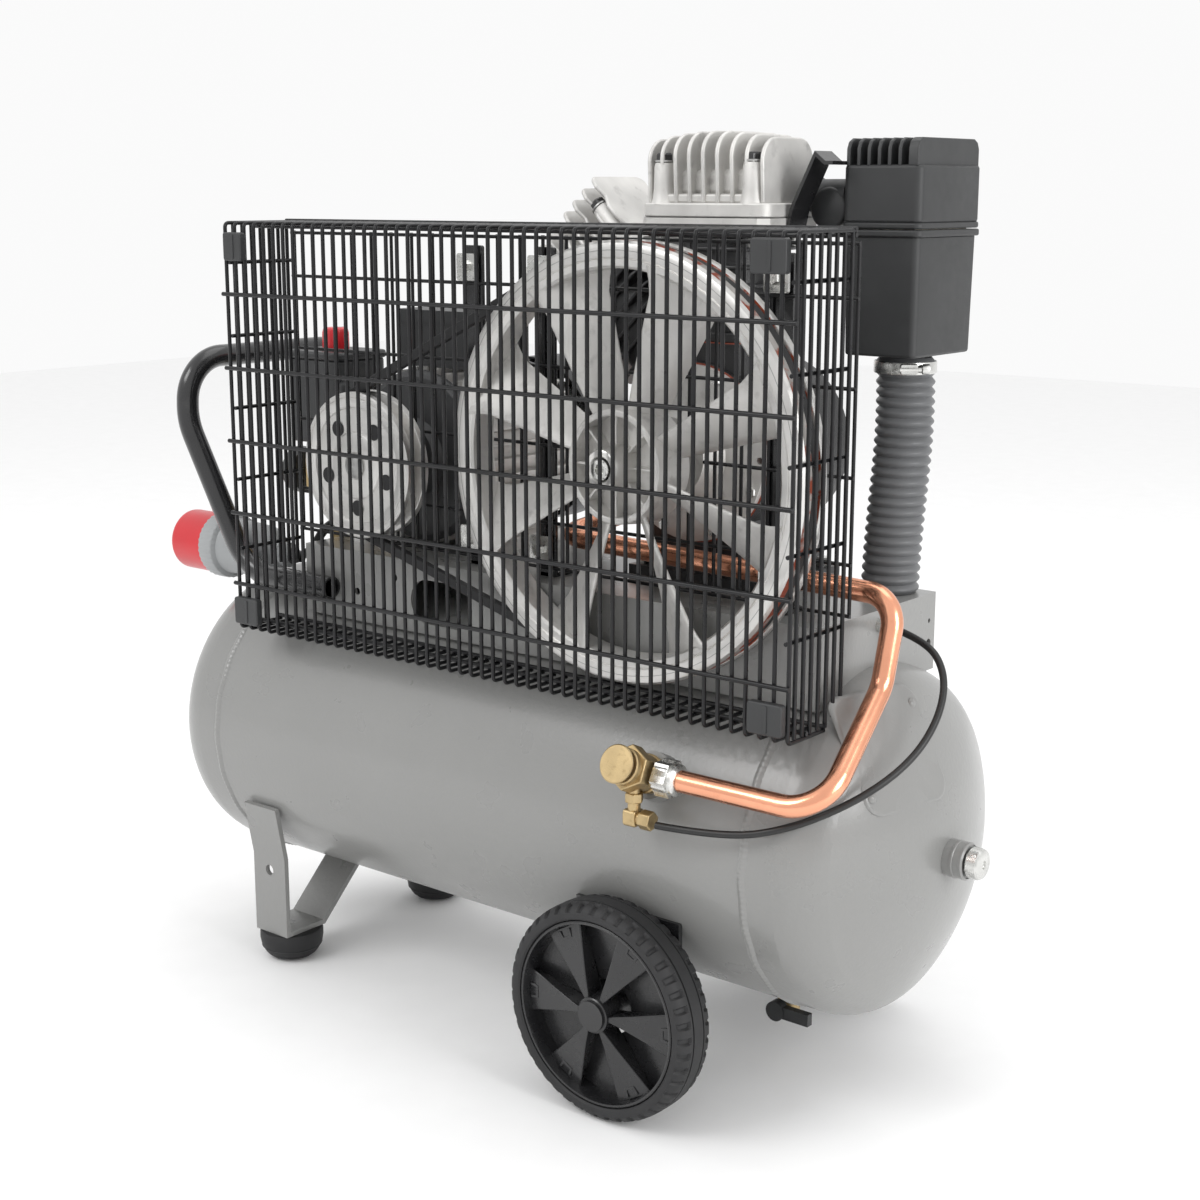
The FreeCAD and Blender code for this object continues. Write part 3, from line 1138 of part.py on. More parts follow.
def controls():
    """Standpipe with manifold, pressure switch and its knob, regulator knob and gauge."""
    x, top = num("stand_x"), num("tank_axis_z + tank_radius")
    column = bar(9.6, V(x, 0, top + 1), V(0, 0, 1), 85).fuse(bar(12, V(x, 0, top + 12.2), V(0, 0, 1), 72))
    brick = Part.makeBox(64, 34, 30, V(x - 32, -17, 468))
    neck = bar(10, V(x, 0, 490), V(0, 0, 1), 28)
    outlet = bar(9, V(x, 10, 483), V(0, 1, 0), 22).fuse(bar(21, V(x, 30, 483), V(0, 1, 0), 30))
    tail = bar(6.5, V(x, 45, 483), V(-1, 0, 0), 58).fuse(bar(9, V(x, 45, 483), V(-1, 0, 0), 23))
    stem = bar(6, V(x - 45, 0, 483), V(1, 0, 0), 20)
    relief = bar(7, V(x - 22, 0, 490), V(0, 0, 1), 24)
    spindle = bar(5, V(x, 55, 483), V(0, 1, 0), 30)
    manifold = column.multiFuse([brick, neck, outlet, tail, stem, relief, spindle])
    node("outlet_manifold", formed("manifold", manifold.removeSplitter()))

    knob = new_body("regulator_cap")
    revolve(knob, [("5.05", "0"), ("18", "0"), ("20", "3"), ("20", "24"), ("17", "28"), ("0", "28"),
                   ("0", "25"), ("5.05", "25")])
    node("regulator_knob", put(knob, "stand_x", "60.3", "483", turn="y"))

    gauge = new_body("gauge_shell")
    revolve(gauge, [("0", "0"), ("24", "0"), ("24", "16"), ("22", "16"), ("22", "4"), ("0", "4")])
    node("gauge_case", put(gauge, "stand_x - 45", "0", "483", turn="x"))
    NODES["gauge_case"].Placement.Rotation = FreeCAD.Rotation(V(0, 1, 0), -90)
    needle = Part.makeBox(1, 3, 22, V(x - 45 - 11, -1.5, 479))
    needle = needle.fuse(bar(3, V(x - 45 - 12, 0, 483), V(1, 0, 0), 2.5))
    needle.rotate(V(x, 0, 483), V(1, 0, 0), -135)
    node("gauge_needle", formed("needle", needle.removeSplitter()))

    case = box("switch_case", ("78", "66", "84"), ("stand_x - 39", "-33", "518"))
    lid = box("switch_lid", ("82", "70", "8"), ("stand_x - 41", "-35", "602"))
    gland = rod("switch_gland", "8", "16", ("stand_x + 39", "-24", "575"), "x")
    node("pressure_switch", fuse("switch_box", case, lid, gland))
    knob = new_body("switch_cap")
    revolve(knob, [("0", "0"), ("14", "0"), ("14", "3"), ("12", "16"), ("0", "16")])
    grip = pad(knob, block("13", "3.5"), "22", name="grip")
    body_tip(knob, grip)
    node("switch_knob", put(knob, "stand_x", "0", "610.3"))


def power():
    """Plug at rest on the receiver, and the short cord up to the pressure switch."""
    radius = num("tank_radius")
    plug_x, plug_y, ring = -465, -62, 34
    plug_z = num("tank_axis_z") + math.sqrt((radius + ring + 0.3) ** 2 - plug_y ** 2)
    collar = new_body("plug_collar")
    revolve(collar, [("27", "0"), ("31", "0"), ("31", "46"), ("27", "46")])
    place = (str(plug_x), str(plug_y), str(plug_z))
    node("cee_collar", put(collar, *place, turn="x"))
    body = new_body("plug_body")
    revolve(body, [("0", "30"), ("26.8", "30"), ("26.8", "46.2"), ("34", "46.2"), ("34", "66"), ("28", "72"),
                   ("26", "118"), ("18", "131"), ("13", "135"), ("13", "151"), ("8", "156"), ("0", "156")])
    for index in range(5):
        angle = 72 * index
        spot = ("%f" % (16 * math.cos(math.radians(angle))), "%f" % (16 * math.sin(math.radians(angle))))
        pad(body, [], "24", [(spot[0], spot[1], "2.5")], lift="7", name="pin%d" % index)
    node("cee_plug", put(body, *place, turn="x"))
    start = V(plug_x + 156.8, plug_y, plug_z)
    route = [start, V(-287, -61, 408.5), V(-264, -57, 446), V(-218, -56, 452), V(-203, -56, 490),
             V(-211, -55, 530), V(-228, -42, 562), V(num("stand_x") + 58.6, -24, 575)]
    node("power_cord", formed("cord", cord_along("power_cord", route, num("cord_radius"))))


def drain():
    """Drain cock under the receiver with its turning lever."""
    x, z = num("drain_x"), num("tank_axis_z - tank_radius")
    stem = bar(6.9, V(x, 0, z - 3), V(0, 0, -1), 12).fuse(bar(10, V(x, 0, z - 12.2), V(0, 0, -1), 20))
    stem = stem.fuse(bar(5, V(x, 0, z - 22), V(0, -1, 0), 14))
    node("drain_cock", formed("cock", stem.removeSplitter()))
    lever = bar(9, V(x, -14.3, z - 22), V(0, -1, 0), 9)
    lever = lever.fuse(Part.makeBox(34, 7, 11, V(x, -22.3, z - 27.5)))
    node("drain_lever", formed("lever", lever.removeSplitter()))


def grille(length, height, columns, rows, wire, ends):
    """A flat welded grille as one sheet with square openings, in its own XY plane."""
    outer = Part.makePolygon([V(0, 0, 0), V(length, 0, 0), V(length, height, 0), V(0, height, 0), V(0, 0, 0)])
    step_u = (length - wire) / columns
    holes = []
    for column in range(columns):
        left = wire + column * step_u
        right = (column + 1) * step_u
        for low, high in zip(rows[:-1], rows[1:]):
            holes.append(Part.makePolygon([V(left, low + ends, 0), V(right, low + ends, 0),
                                           V(right, high - ends, 0), V(left, high - ends, 0),
                                           V(left, low + ends, 0)]))
    face = Part.makeFace([outer] + holes, "Part::FaceMakerBullseye")
    return face.extrude(V(0, 0, wire))


def guard():
    """Wire basket over the belt drive, its back panel, and what holds them."""
    wire = num("guard_wire")
    left, right = num("guard_left_x"), num("guard_right_x")
    front, back = num("guard_front_y"), num("guard_back_y")
    low, high = num("guard_low_z"), num("guard_high_z")
    columns = int(num("guard_columns"))
    half, slack = wire / 2, 0.2
    rails = [half] + [46 + 69 * k for k in range(5)] + [high - low - half]
    room = bar(num("tank_radius") + 3, V(left - 20, 0, num("tank_axis_z")), V(1, 0, 0), right - left + 60)

    face = grille(right - left, high - low, columns, rails, wire, half)
    face.rotate(V(0, 0, 0), V(1, 0, 0), 90)
    face.translate(V(left, front + wire, low))
    inside = front + wire + slack
    depth = back - 4 - inside
    decks = []
    for spot, reach in ((low, -num("tank_radius") + 50 - inside), (high - wire, depth)):
        deck = grille(right - left, reach, columns, [half, reach / 2, reach - half], wire, half)
        deck.translate(V(left, inside, spot))
        decks.append(deck)
    side_low = low + wire + slack
    side_high = high - wire - slack - side_low
    rows = [half] + [rail - wire - slack for rail in rails[1:-1]] + [side_high - half]
    sides = []
    for spot in (left, right - wire):
        side = grille(depth, side_high, 7, rows, wire, half)
        side.rotate(V(0, 0, 0), V(1, 1, 1), 120)
        side.translate(V(spot, inside, side_low))
        sides.append(side.cut(room))
    notch = Part.makeBox(20, 60, 54, V(left - 8, back - 54, low))
    sides[0] = sides[0].cut(notch)
    pieces = [formed("guard_face", face)]
    pieces += [formed("guard_deck%d" % k, deck) for k, deck in enumerate(decks)]
    pieces += [formed("guard_side%d" % k, largest(side)) for k, side in enumerate(sides)]
    node("guard_basket", group("basket", *pieces))

    rear_low = num("deck_top_z") + 4
    rear_rails = [half, 46, 115, 184, 253, high - rear_low - 8 - half]
    rear = grille(right - left + 8, high - rear_low - 8, 24, rear_rails, wire, half)
    rear.rotate(V(0, 0, 0), V(1, 0, 0), 90)
    rear.translate(V(left - 4, back + wire, rear_low))
    rear = rear.cut(bar(46, V(num("crank_x"), back - 5, num("crank_z")), V(0, 1, 0), 20))
    rear = rear.cut(bar(30, V(num("motor_x"), back - 5, num("motor_z")), V(0, 1, 0), 20))
    node("guard_rear_panel", formed("rear_panel", largest(rear)))

    fixings = []
    post_low = num("deck_top_z")
    for index, spot in enumerate((-68, 16, 262)):
        start = V(spot, back + wire + slack, post_low)
        post = Part.makeBox(22, 4, high - post_low - 20, start).fuse(Part.makeBox(22, 26, 4, start))
        fixings.append(formed("post%d" % index, post.removeSplitter()))
    corners = ((left + 2, high - 40), (right - 44, high - 52), (left + 4, low + 8), (right - 44, low + 14))
    for index, (x, z) in enumerate(corners):
        size = ("32" if index else "24", "8", "26")
        fixings.append(box("clip%d" % index, size, (str(x), "guard_front_y - 8.2", str(z))))
    node("guard_fixings", group("posts_and_clips", *fixings))


def largest(shape):
    """The main solid of a cut shape, without loose offcuts."""
    return sorted(shape.Solids, key=lambda solid: -solid.Volume)[0]


def check_and_write():
    """Refuse a failed feature or a bad solid, then write each sub-part."""
    doc.recompute()
    for thing in doc.Objects:
        if "Invalid" in thing.State or "Error" in thing.State:
            raise RuntimeError("%s failed: %s" % (thing.Label, thing.State))
    os.makedirs("parts", exist_ok=True)
    for label, thing in NODES.items():
        shape = thing.Shape
        if shape.isNull() or not shape.isValid() or not shape.Solids:
            raise RuntimeError(label + " has no valid solid")
        shape.exportStep("parts/%s.step" % label)
        bounds = shape.BoundBox
        print("%-20s %2d solids %9.0f mm3  x %5.0f..%5.0f  y %5.0f..%5.0f  z %4.0f..%4.0f" % (
            label, len(shape.Solids), shape.Volume, bounds.XMin, bounds.XMax,
            bounds.YMin, bounds.YMax, bounds.ZMin, bounds.ZMax))
    print(len(NODES), "sub-parts")


air_receiver()
feet()
wheels()
platform()
push_handle()
motor()
belt_drive()
crankcase()
shafts()
barrels()
intake()
delivery()
controls()
power()
drain()
guard()
check_and_write()
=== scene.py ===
"""Looks of the wheeled belt-driven air compressor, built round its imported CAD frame."""
import bmesh
import bpy
import math
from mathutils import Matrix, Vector


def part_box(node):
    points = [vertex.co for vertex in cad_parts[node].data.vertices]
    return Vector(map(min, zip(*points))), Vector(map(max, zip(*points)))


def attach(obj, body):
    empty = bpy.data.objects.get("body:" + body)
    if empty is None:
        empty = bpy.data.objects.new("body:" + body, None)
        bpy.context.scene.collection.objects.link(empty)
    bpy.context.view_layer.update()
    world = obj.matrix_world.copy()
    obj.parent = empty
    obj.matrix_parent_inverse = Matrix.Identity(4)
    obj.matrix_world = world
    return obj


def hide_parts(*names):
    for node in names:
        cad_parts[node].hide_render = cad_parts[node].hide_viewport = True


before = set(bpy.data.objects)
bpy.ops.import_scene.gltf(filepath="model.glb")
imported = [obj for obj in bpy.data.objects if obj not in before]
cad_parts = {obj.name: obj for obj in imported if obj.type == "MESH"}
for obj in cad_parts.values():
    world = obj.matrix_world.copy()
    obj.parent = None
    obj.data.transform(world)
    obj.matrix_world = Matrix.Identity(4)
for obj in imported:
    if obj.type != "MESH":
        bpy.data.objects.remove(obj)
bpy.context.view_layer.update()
MM = 0.001
TANK_Z = 233          # height of the receiver's axis, mm
TANK_DOME = 240       # crown radius of its dished ends
TANK_TIP = 407.7      # X of the right end's tip
CRANK = (154.5, 0, 546)
MOTOR = (-158, 0, 518)
BELT_Y = -104         # middle plane of the belt
PLUG_X = -465         # the plug's open face


def P(x, y, z):
    """A point given in millimetres, in metres."""
    return Vector((x * MM, y * MM, z * MM))


# ---------------------------------------------------------------- camera and light
def make_camera():
    """The camera that was fitted to the photograph."""
    data = bpy.data.cameras.new("camera")
    data.lens = 56.27
    data.sensor_width = 36
    camera = bpy.data.objects.new("camera", data)
    bpy.context.scene.collection.objects.link(camera)
    camera.location = (1.1008, -1.3125, 0.7661)
    camera.rotation_euler = (math.radians(90 - 12.3), 0, math.radians(39))
    bpy.context.scene.camera = camera


def area_light(name, place, aim, size, power):
    """A rectangular lamp at a place, turned to an aim point."""
    data = bpy.data.lights.new(name, "AREA")
    data.shape = "RECTANGLE"
    data.size, data.size_y = size
    data.energy = power
    light = bpy.data.objects.new(name, data)
    bpy.context.scene.collection.objects.link(light)
    light.location = place
    light.rotation_euler = (Vector(aim) - Vector(place)).to_track_quat("-Z", "Y").to_euler()


def make_studio():
    """White surroundings, three soft lamps and a pale floor."""
    world = bpy.data.worlds.new("studio")
    bpy.context.scene.world = world
    world.use_nodes = True
    back = world.node_tree.nodes["Background"]
    back.inputs["Color"].default_value = (1, 1, 1, 1)
    back.inputs["Strength"].default_value = 0.96
    area_light("key", (-1.0, -2.4, 2.6), (0, 0, 0.4), (1.6, 1.2), 34)
    area_light("side", (2.9, -0.2, 1.3), (0.3, 0, 0.3), (1.2, 1.6), 34)
    area_light("top", (0.2, 0.6, 3.0), (0, 0, 0.4), (2.4, 1.6), 16)
    mat = surface("floor", (0.93, 0.93, 0.93), 0.85, grain=(30, 0.00002), vary=0.01)
    size = 6.0
    mesh = bpy.data.meshes.new("floor")
    corners = [(-size, -size, 0), (size, -size, 0), (size, size, 0), (-size, size, 0)]
    mesh.from_pydata(corners, [], [(0, 1, 2, 3)])
    mesh.materials.append(mat)
    floor = bpy.data.objects.new("floor", mesh)
    bpy.context.scene.collection.objects.link(floor)
    view = bpy.context.scene.view_settings
    view.view_transform = "Standard"
    view.look = "None"


# ---------------------------------------------------------------- materials
def link(tree, a, out, b, into):
    """Wire one node's output to another node's input."""
    tree.links.new(a.outputs[out], b.inputs[into])


def surface(name, colour, rough, metal=0.0, grain=(600, 0.0001), blotch=20, vary=0.12, coat=0.0,
            rough_vary=0.1, second=None, second_at=(0.55, 0.7), stretch=None, ior=1.5, specular=0.5):
    """A procedural finish: blotches of colour, roughness variation and grain in the bump.
    grain is (cells per metre, height in metres); second is a colour that shows in patches."""
    mat = bpy.data.materials.new(name)
    mat.use_nodes = True
    tree = mat.node_tree
    bsdf = tree.nodes["Principled BSDF"]
    bsdf.inputs["Metallic"].default_value = metal
    bsdf.inputs["Coat Weight"].default_value = coat
    bsdf.inputs["Coat Roughness"].default_value = 0.15
    bsdf.inputs["IOR"].default_value = ior
    bsdf.inputs["Specular IOR Level"].default_value = specular
    coords = tree.nodes.new("ShaderNodeTexCoord")
    mapping = tree.nodes.new("ShaderNodeMapping")
    if stretch:
        mapping.inputs["Scale"].default_value = stretch
    link(tree, coords, "Object", mapping, "Vector")

    def noise(scale, detail):
        node = tree.nodes.new("ShaderNodeTexNoise")
        node.inputs["Scale"].default_value = scale
        node.inputs["Detail"].default_value = detail
        link(tree, mapping, "Vector", node, "Vector")
        return node
    patches, fine = noise(blotch, 5), noise(grain[0], 3)
    ramp = tree.nodes.new("ShaderNodeValToRGB")
    dark = [c * (1 - vary) for c in colour]
    pale = [min(1, c * (1 + vary)) for c in colour]
    ramp.color_ramp.elements[0].position = 0.3
    ramp.color_ramp.elements[0].color = (*dark, 1)
    ramp.color_ramp.elements[1].position = 0.7
    ramp.color_ramp.elements[1].color = (*pale, 1)
    link(tree, patches, "Fac", ramp, "Fac")
    last = ramp
    if second:
        mask = tree.nodes.new("ShaderNodeMapRange")
        mask.inputs["From Min"].default_value, mask.inputs["From Max"].default_value = second_at
        spots = noise(blotch * 3, 6)
        link(tree, spots, "Fac", mask, "Value")
        mix = tree.nodes.new("ShaderNodeMixRGB")
        mix.inputs["Color2"].default_value = (*second, 1)
        link(tree, mask, "Result", mix, "Fac")
        link(tree, ramp, "Color", mix, "Color1")
        last = mix
    link(tree, last, "Color", bsdf, "Base Color")
    spread = tree.nodes.new("ShaderNodeMapRange")
    spread.inputs["To Min"].default_value = max(0.02, rough - rough_vary)
    spread.inputs["To Max"].default_value = min(1.0, rough + rough_vary)
    link(tree, noise(blotch * 4, 4), "Fac", spread, "Value")
    link(tree, spread, "Result", bsdf, "Roughness")
    bump = tree.nodes.new("ShaderNodeBump")
    bump.inputs["Strength"].default_value = 1.0
    bump.inputs["Distance"].default_value = grain[1]
    link(tree, fine, "Fac", bump, "Height")
    link(tree, bump, "Normal", bsdf, "Normal")
    return mat


def make_materials():
    """Every finish of the machine, by name."""
    made = {}

    def add(name, *args, **more):
        made[name] = surface(name, *args, **more)
    add("grey_paint", (0.235, 0.235, 0.229), 0.3, grain=(260, 0.00022), blotch=6, vary=0.03, coat=0.35)
    add("black_wire", (0.009, 0.009, 0.010), 0.3, grain=(900, 0.00006), vary=0.3, coat=0.05, specular=0.3)
    add("black_paint", (0.013, 0.013, 0.014), 0.24, grain=(500, 0.00005), vary=0.3, coat=0.4)
    add("black_plastic", (0.026, 0.027, 0.028), 0.44, grain=(2600, 0.00012), vary=0.12, blotch=30)
    add("wheel_plastic", (0.014, 0.014, 0.015), 0.27, grain=(1800, 0.00008), vary=0.2, coat=0.2)
    add("tyre", (0.016, 0.016, 0.017), 0.62, grain=(1500, 0.00012), vary=0.25)
    add("rubber", (0.013, 0.013, 0.014), 0.6, grain=(1600, 0.0001), vary=0.25)
    add("cord_rubber", (0.012, 0.012, 0.012), 0.42, grain=(1600, 0.00006), vary=0.2)
    add("cast", (0.64, 0.63, 0.61), 0.5, metal=0.55, grain=(1500, 0.00022), blotch=24, vary=0.14,
        second=(0.42, 0.41, 0.40), second_at=(0.58, 0.8))
    add("machined", (0.74, 0.73, 0.71), 0.36, metal=0.9, grain=(500, 0.00001), blotch=30, vary=0.06,
        rough_vary=0.06)
    add("groove", (0.45, 0.43, 0.41), 0.5, metal=0.7, grain=(900, 0.0001), blotch=22, vary=0.2,
        second=(0.33, 0.07, 0.035), second_at=(0.47, 0.56))
    add("black_casting", (0.018, 0.018, 0.019), 0.4, grain=(800, 0.0004), blotch=40, vary=0.3, coat=0.15)
    add("dark_motor", (0.05, 0.051, 0.053), 0.42, grain=(900, 0.00025), vary=0.15)
    add("zinc", (0.66, 0.66, 0.64), 0.28, metal=1.0, grain=(700, 0.00005), blotch=70, vary=0.12)
    add("copper", (0.86, 0.40, 0.25), 0.24, metal=1.0, grain=(300, 0.00006), blotch=18, vary=0.08,
        second=(0.62, 0.24, 0.13), second_at=(0.6, 0.85))
    add("brass", (0.47, 0.355, 0.19), 0.4, metal=0.92, grain=(900, 0.00012), blotch=60, vary=0.15,
        second=(0.30, 0.21, 0.10), second_at=(0.55, 0.8))
    add("grey_pvc", (0.115, 0.118, 0.122), 0.4, grain=(900, 0.0001), vary=0.08)
    add("plug_grey", (0.30, 0.31, 0.315), 0.42, grain=(1500, 0.00006), vary=0.05)
    add("red", (0.55, 0.012, 0.02), 0.36, grain=(1200, 0.00004), vary=0.06, coat=0.2)
    add("gasket", (0.30, 0.07, 0.04), 0.7, grain=(900, 0.0001), vary=0.2)
    add("glass", (0.50, 0.42, 0.20), 0.12, grain=(200, 0.00002), vary=0.1, coat=0.8)
    add("paper", (0.80, 0.76, 0.66), 0.8, grain=(1200, 0.0002), vary=0.06)
    add("steel", (0.45, 0.45, 0.44), 0.38, metal=1.0, grain=(800, 0.0001), blotch=40, vary=0.15)
    return made


make_camera()
MAT = make_materials()
make_studio()


# ---------------------------------------------------------------- shape helpers
def piece(name, verts, faces, mat, body="frame", angle=40, bevel=0.0):
    """A mesh piece in metres, smooth up to an angle, its edges rounded by a bevel."""
    mesh = bpy.data.meshes.new(name)
    mesh.from_pydata([tuple(v) for v in verts], [], faces)
    mesh.validate()
    mesh.materials.append(MAT[mat])
    thing = bpy.data.objects.new(name, mesh)
    bpy.context.scene.collection.objects.link(thing)
    mesh.shade_smooth()
    mesh.set_sharp_from_angle(angle=math.radians(angle))
    if bevel:
        mod = thing.modifiers.new("edges", "BEVEL")
        mod.width = bevel * MM
        mod.segments = 2
        mod.limit_method = "ANGLE"
        mod.angle_limit = math.radians(35)
        mod.harden_normals = False
    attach(thing, body)
    return thing


def turned(name, profile, origin, axis, mat, body="frame", count=64, closed=False, warp=None,
           angle=40):
    """Revolve (radius, along) points in millimetres about an axis; warp shifts single points."""
    spin = Vector(axis).to_track_quat("Z", "X").to_matrix()
    base = P(*origin)
    verts, faces = [], []
    size = len(profile)
    for k in range(count):
        turn = 2 * math.pi * k / count
        for radius, along in profile:
            if warp:
                radius, along = warp(turn, radius, along)
            local = Vector((radius * math.cos(turn), radius * math.sin(turn), along)) * MM
            verts.append(base + spin @ local)
    rows = size if closed else size - 1
    for k in range(count):
        for j in range(rows):
            a, b = k * size + j, k * size + (j + 1) % size
            c, d = ((k + 1) % count) * size + (j + 1) % size, ((k + 1) % count) * size + j
            faces.append((a, d, c, b))
    thing = piece(name, verts, faces, mat, body, angle)
    weld(thing)
    return thing


def weld(thing):
    """Merge doubled points and turn the faces outward."""
    work = bmesh.new()
    work.from_mesh(thing.data)
    bmesh.ops.remove_doubles(work, verts=work.verts, dist=1e-6)
    bmesh.ops.dissolve_degenerate(work, edges=work.edges, dist=1e-7)
    bmesh.ops.recalc_face_normals(work, faces=work.faces)
    work.to_mesh(thing.data)
    work.free()


def skin(rows, size, first=True, last=True):
    """Faces round rows of points, with a cap on the first and on the last row."""
    faces = []
    for j in range(rows - 1):
        for i in range(size):
            a, b = j * size + i, j * size + (i + 1) % size
            faces.append((a, b, b + size, a + size))
    if first:
        faces.append(tuple(range(size))[::-1])
    if last:
        faces.append(tuple(size * (rows - 1) + i for i in range(size)))
    return faces


def slab(name, outline, thick, origin, u, v, mat, body="frame", bevel=0.8):
    """Thicken a flat outline (millimetres along u and v) along u x v."""
    u, v = Vector(u).normalized(), Vector(v).normalized()
    out = u.cross(v)
    base = P(*origin)
    verts = [base + (u * a + v * b + out * thick * level) * MM for level in (0, 1) for a, b in outline]
    return piece(name, verts, skin(2, len(outline)), mat, body, 40, bevel)


def rounded(width, height, radius, steps=5, centre=(0, 0)):
    """The outline of a rectangle with round corners."""
    points = []
    for k, (sx, sy) in enumerate(((1, -1), (1, 1), (-1, 1), (-1, -1))):
        for j in range(steps + 1):
            turn = math.radians(-90 + 90 * k + 90 * j / steps)
            points.append((centre[0] + sx * (width / 2 - radius) + radius * math.cos(turn),
                           centre[1] + sy * (height / 2 - radius) + radius * math.sin(turn)))
    return points


def ngon(radius, sides, start=0.0):
    """The outline of a regular polygon."""
    return [(radius * math.cos(start + 2 * math.pi * k / sides),
             radius * math.sin(start + 2 * math.pi * k / sides)) for k in range(sides)]


def wires(name, paths, radius, mat, body="frame", sides=3):
    """Round wires: each path is one open spline through smooth bends, in millimetres.
    The points carry the radius, so the object's box stays the size of the wires."""
    curve = bpy.data.curves.new(name, "CURVE")
    curve.dimensions = "3D"
    curve.bevel_depth = 1.0
    curve.bevel_resolution = sides
    curve.resolution_u = 6
    curve.use_fill_caps = True
    for path in paths:
        line = curve.splines.new("NURBS")
        line.points.add(len(path) - 1)
        for point, spot in zip(line.points, path):
            point.co = (*P(*spot), 1)
            point.radius = radius * MM
        line.order_u = 3 if len(path) > 2 else 2
        line.use_endpoint_u = True
    curve.materials.append(MAT[mat])
    thing = bpy.data.objects.new(name, curve)
    bpy.context.scene.collection.objects.link(thing)
    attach(thing, body)
    return thing


def bolt_head(name, origin, axis, across, height, mat="zinc", body="frame", round_head=False):
    """A hexagon or round head with a chamfered rim."""
    spin = Vector(axis).to_track_quat("Z", "X").to_matrix()
    base = P(*origin)
    sides = 24 if round_head else 6
    outer = across / 2 / math.cos(math.pi / sides)
    rings = [(outer, 0), (outer, height * 0.75), (outer * 0.86, height), (0.01, height)]
    verts = [base + spin @ (Vector((r * math.cos(2 * math.pi * k / sides),
                                    r * math.sin(2 * math.pi * k / sides), h)) * MM)
             for r, h in rings for k in range(sides)]
    faces = [(j * sides + k, j * sides + (k + 1) % sides, (j + 1) * sides + (k + 1) % sides,
              (j + 1) * sides + k) for j in range(3) for k in range(sides)]
    return piece(name, verts, faces, mat, body, 25)


def paint(mat, *nodes):
    """Give a finish to CAD nodes that stay in the scene."""
    for node in nodes:
        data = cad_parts[node].data
        data.materials.clear()
        data.materials.append(MAT[mat])


# ---------------------------------------------------------------- plug and the two free cords
def plug_axis():
    """Y and Z of the plug's axis, in millimetres."""
    low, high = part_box("cee_plug")
    return (low.y + high.y) / 2 / MM, (low.z + high.z) / 2 / MM


def make_plug():
    """Red shroud, grey shell with grip ribs, five pins; returns the strain relief."""
    y, z = plug_axis()
    at = (PLUG_X, y, z)
    collar = turned("plug_shroud", [(27, 2), (27.6, 0.6), (28.6, 0), (30, 0.2), (30.8, 1.4), (31, 4),
                                    (31, 45.8), (27, 45.8)], at, (1, 0, 0), "red", "frame", 72, True,
                    angle=30)
    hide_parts("cee_collar")

    def ribs(turn, radius, along):
        if 46 < along < 66 and radius > 33:
            radius -= 0.9 * (0.5 + 0.5 * math.cos(turn * 36))
        return radius, along
    shell = turned("plug_shell", [(0.01, 31), (26.6, 31), (26.8, 46.4), (33.4, 46.6), (34, 48), (34, 64.5),
                                  (33, 66), (29, 68.5), (28, 72), (27.4, 96), (26, 116), (22, 125),
                                  (18, 131), (15, 133.6), (13.4, 135), (13.4, 142), (12.4, 143),
                                  (12.4, 150), (10, 153), (7, 156), (0.01, 156)],
                   at, (1, 0, 0), "plug_grey", "frame", 144, False, ribs, angle=35)
    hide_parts("cee_plug")
    for k in range(5):
        turn = math.radians(72 * k)
        spot = (PLUG_X, y + 16 * math.sin(turn), z - 16 * math.cos(turn))
        turned("plug_pin_%d" % k, [(0.01, 7), (1.8, 7.4), (2.5, 9), (2.5, 31.5)], spot, (1, 0, 0), "brass",
               "frame", 20)
    return turned("plug_relief", [(8.6, 155.4), (8, 157), (6, 163), (5.2, 168), (4.7, 168)], at, (1, 0, 0),
                  "rubber", "frame", 32)


def make_cords(relief):
    """The power cord from the switch's gland to the plug, and the thin unloader hose."""
    y, z = plug_axis()
    route = [(-256.4, -24, 575), (-228, -42, 562), (-211, -55, 530), (-203, -56, 490), (-218, -56, 452),
             (-264, -57, 446), (-287, -61, 408.5), (-308.2, y, z)]
    cord = wires("power_cord_soft", [route], 4.5, "cord_rubber", sides=6)
    cord.data.resolution_u = 16
    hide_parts("power_cord")
    hose_route = [(234.2, -171.1, 268.6), (292, -160, 268), (345, -150, 283), (385, -112, 305),
                  (406, -68, 330), (411, -34, 360), (403, -12, 390), (378, 0, 411), (341, 4, 416)]
    hose = wires("unloader_hose_soft", [hose_route], 3.0, "cord_rubber", sides=6)
    hose.data.resolution_u = 16
    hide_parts("unloader_hose")


make_cords(make_plug())

# ---------------------------------------------------------------- belt guard
LEFT, RIGHT, FRONT, BACK, LOW, HIGH = -291, 346, -152, -71, 350, 739
HALF = 1.8            # radius of the guard's wires
GRID_Y = -65.2        # plane of the back grid's upright wires
GRID_HOLES = ((CRANK[0], CRANK[2], 48), (MOTOR[0], MOTOR[2], 32))


def grid_gaps(offset_axis, value):
    """Stretches of a back grid wire that the holes for the two shafts leave out."""
    gaps = []
    for cx, cz, r in GRID_HOLES:
        across, along = (cx, cz) if offset_axis == "x" else (cz, cx)
        reach = r ** 2 - (value - across) ** 2
        if reach > 0:
            gaps.append((along - math.sqrt(reach), along + math.sqrt(reach)))
    return gaps


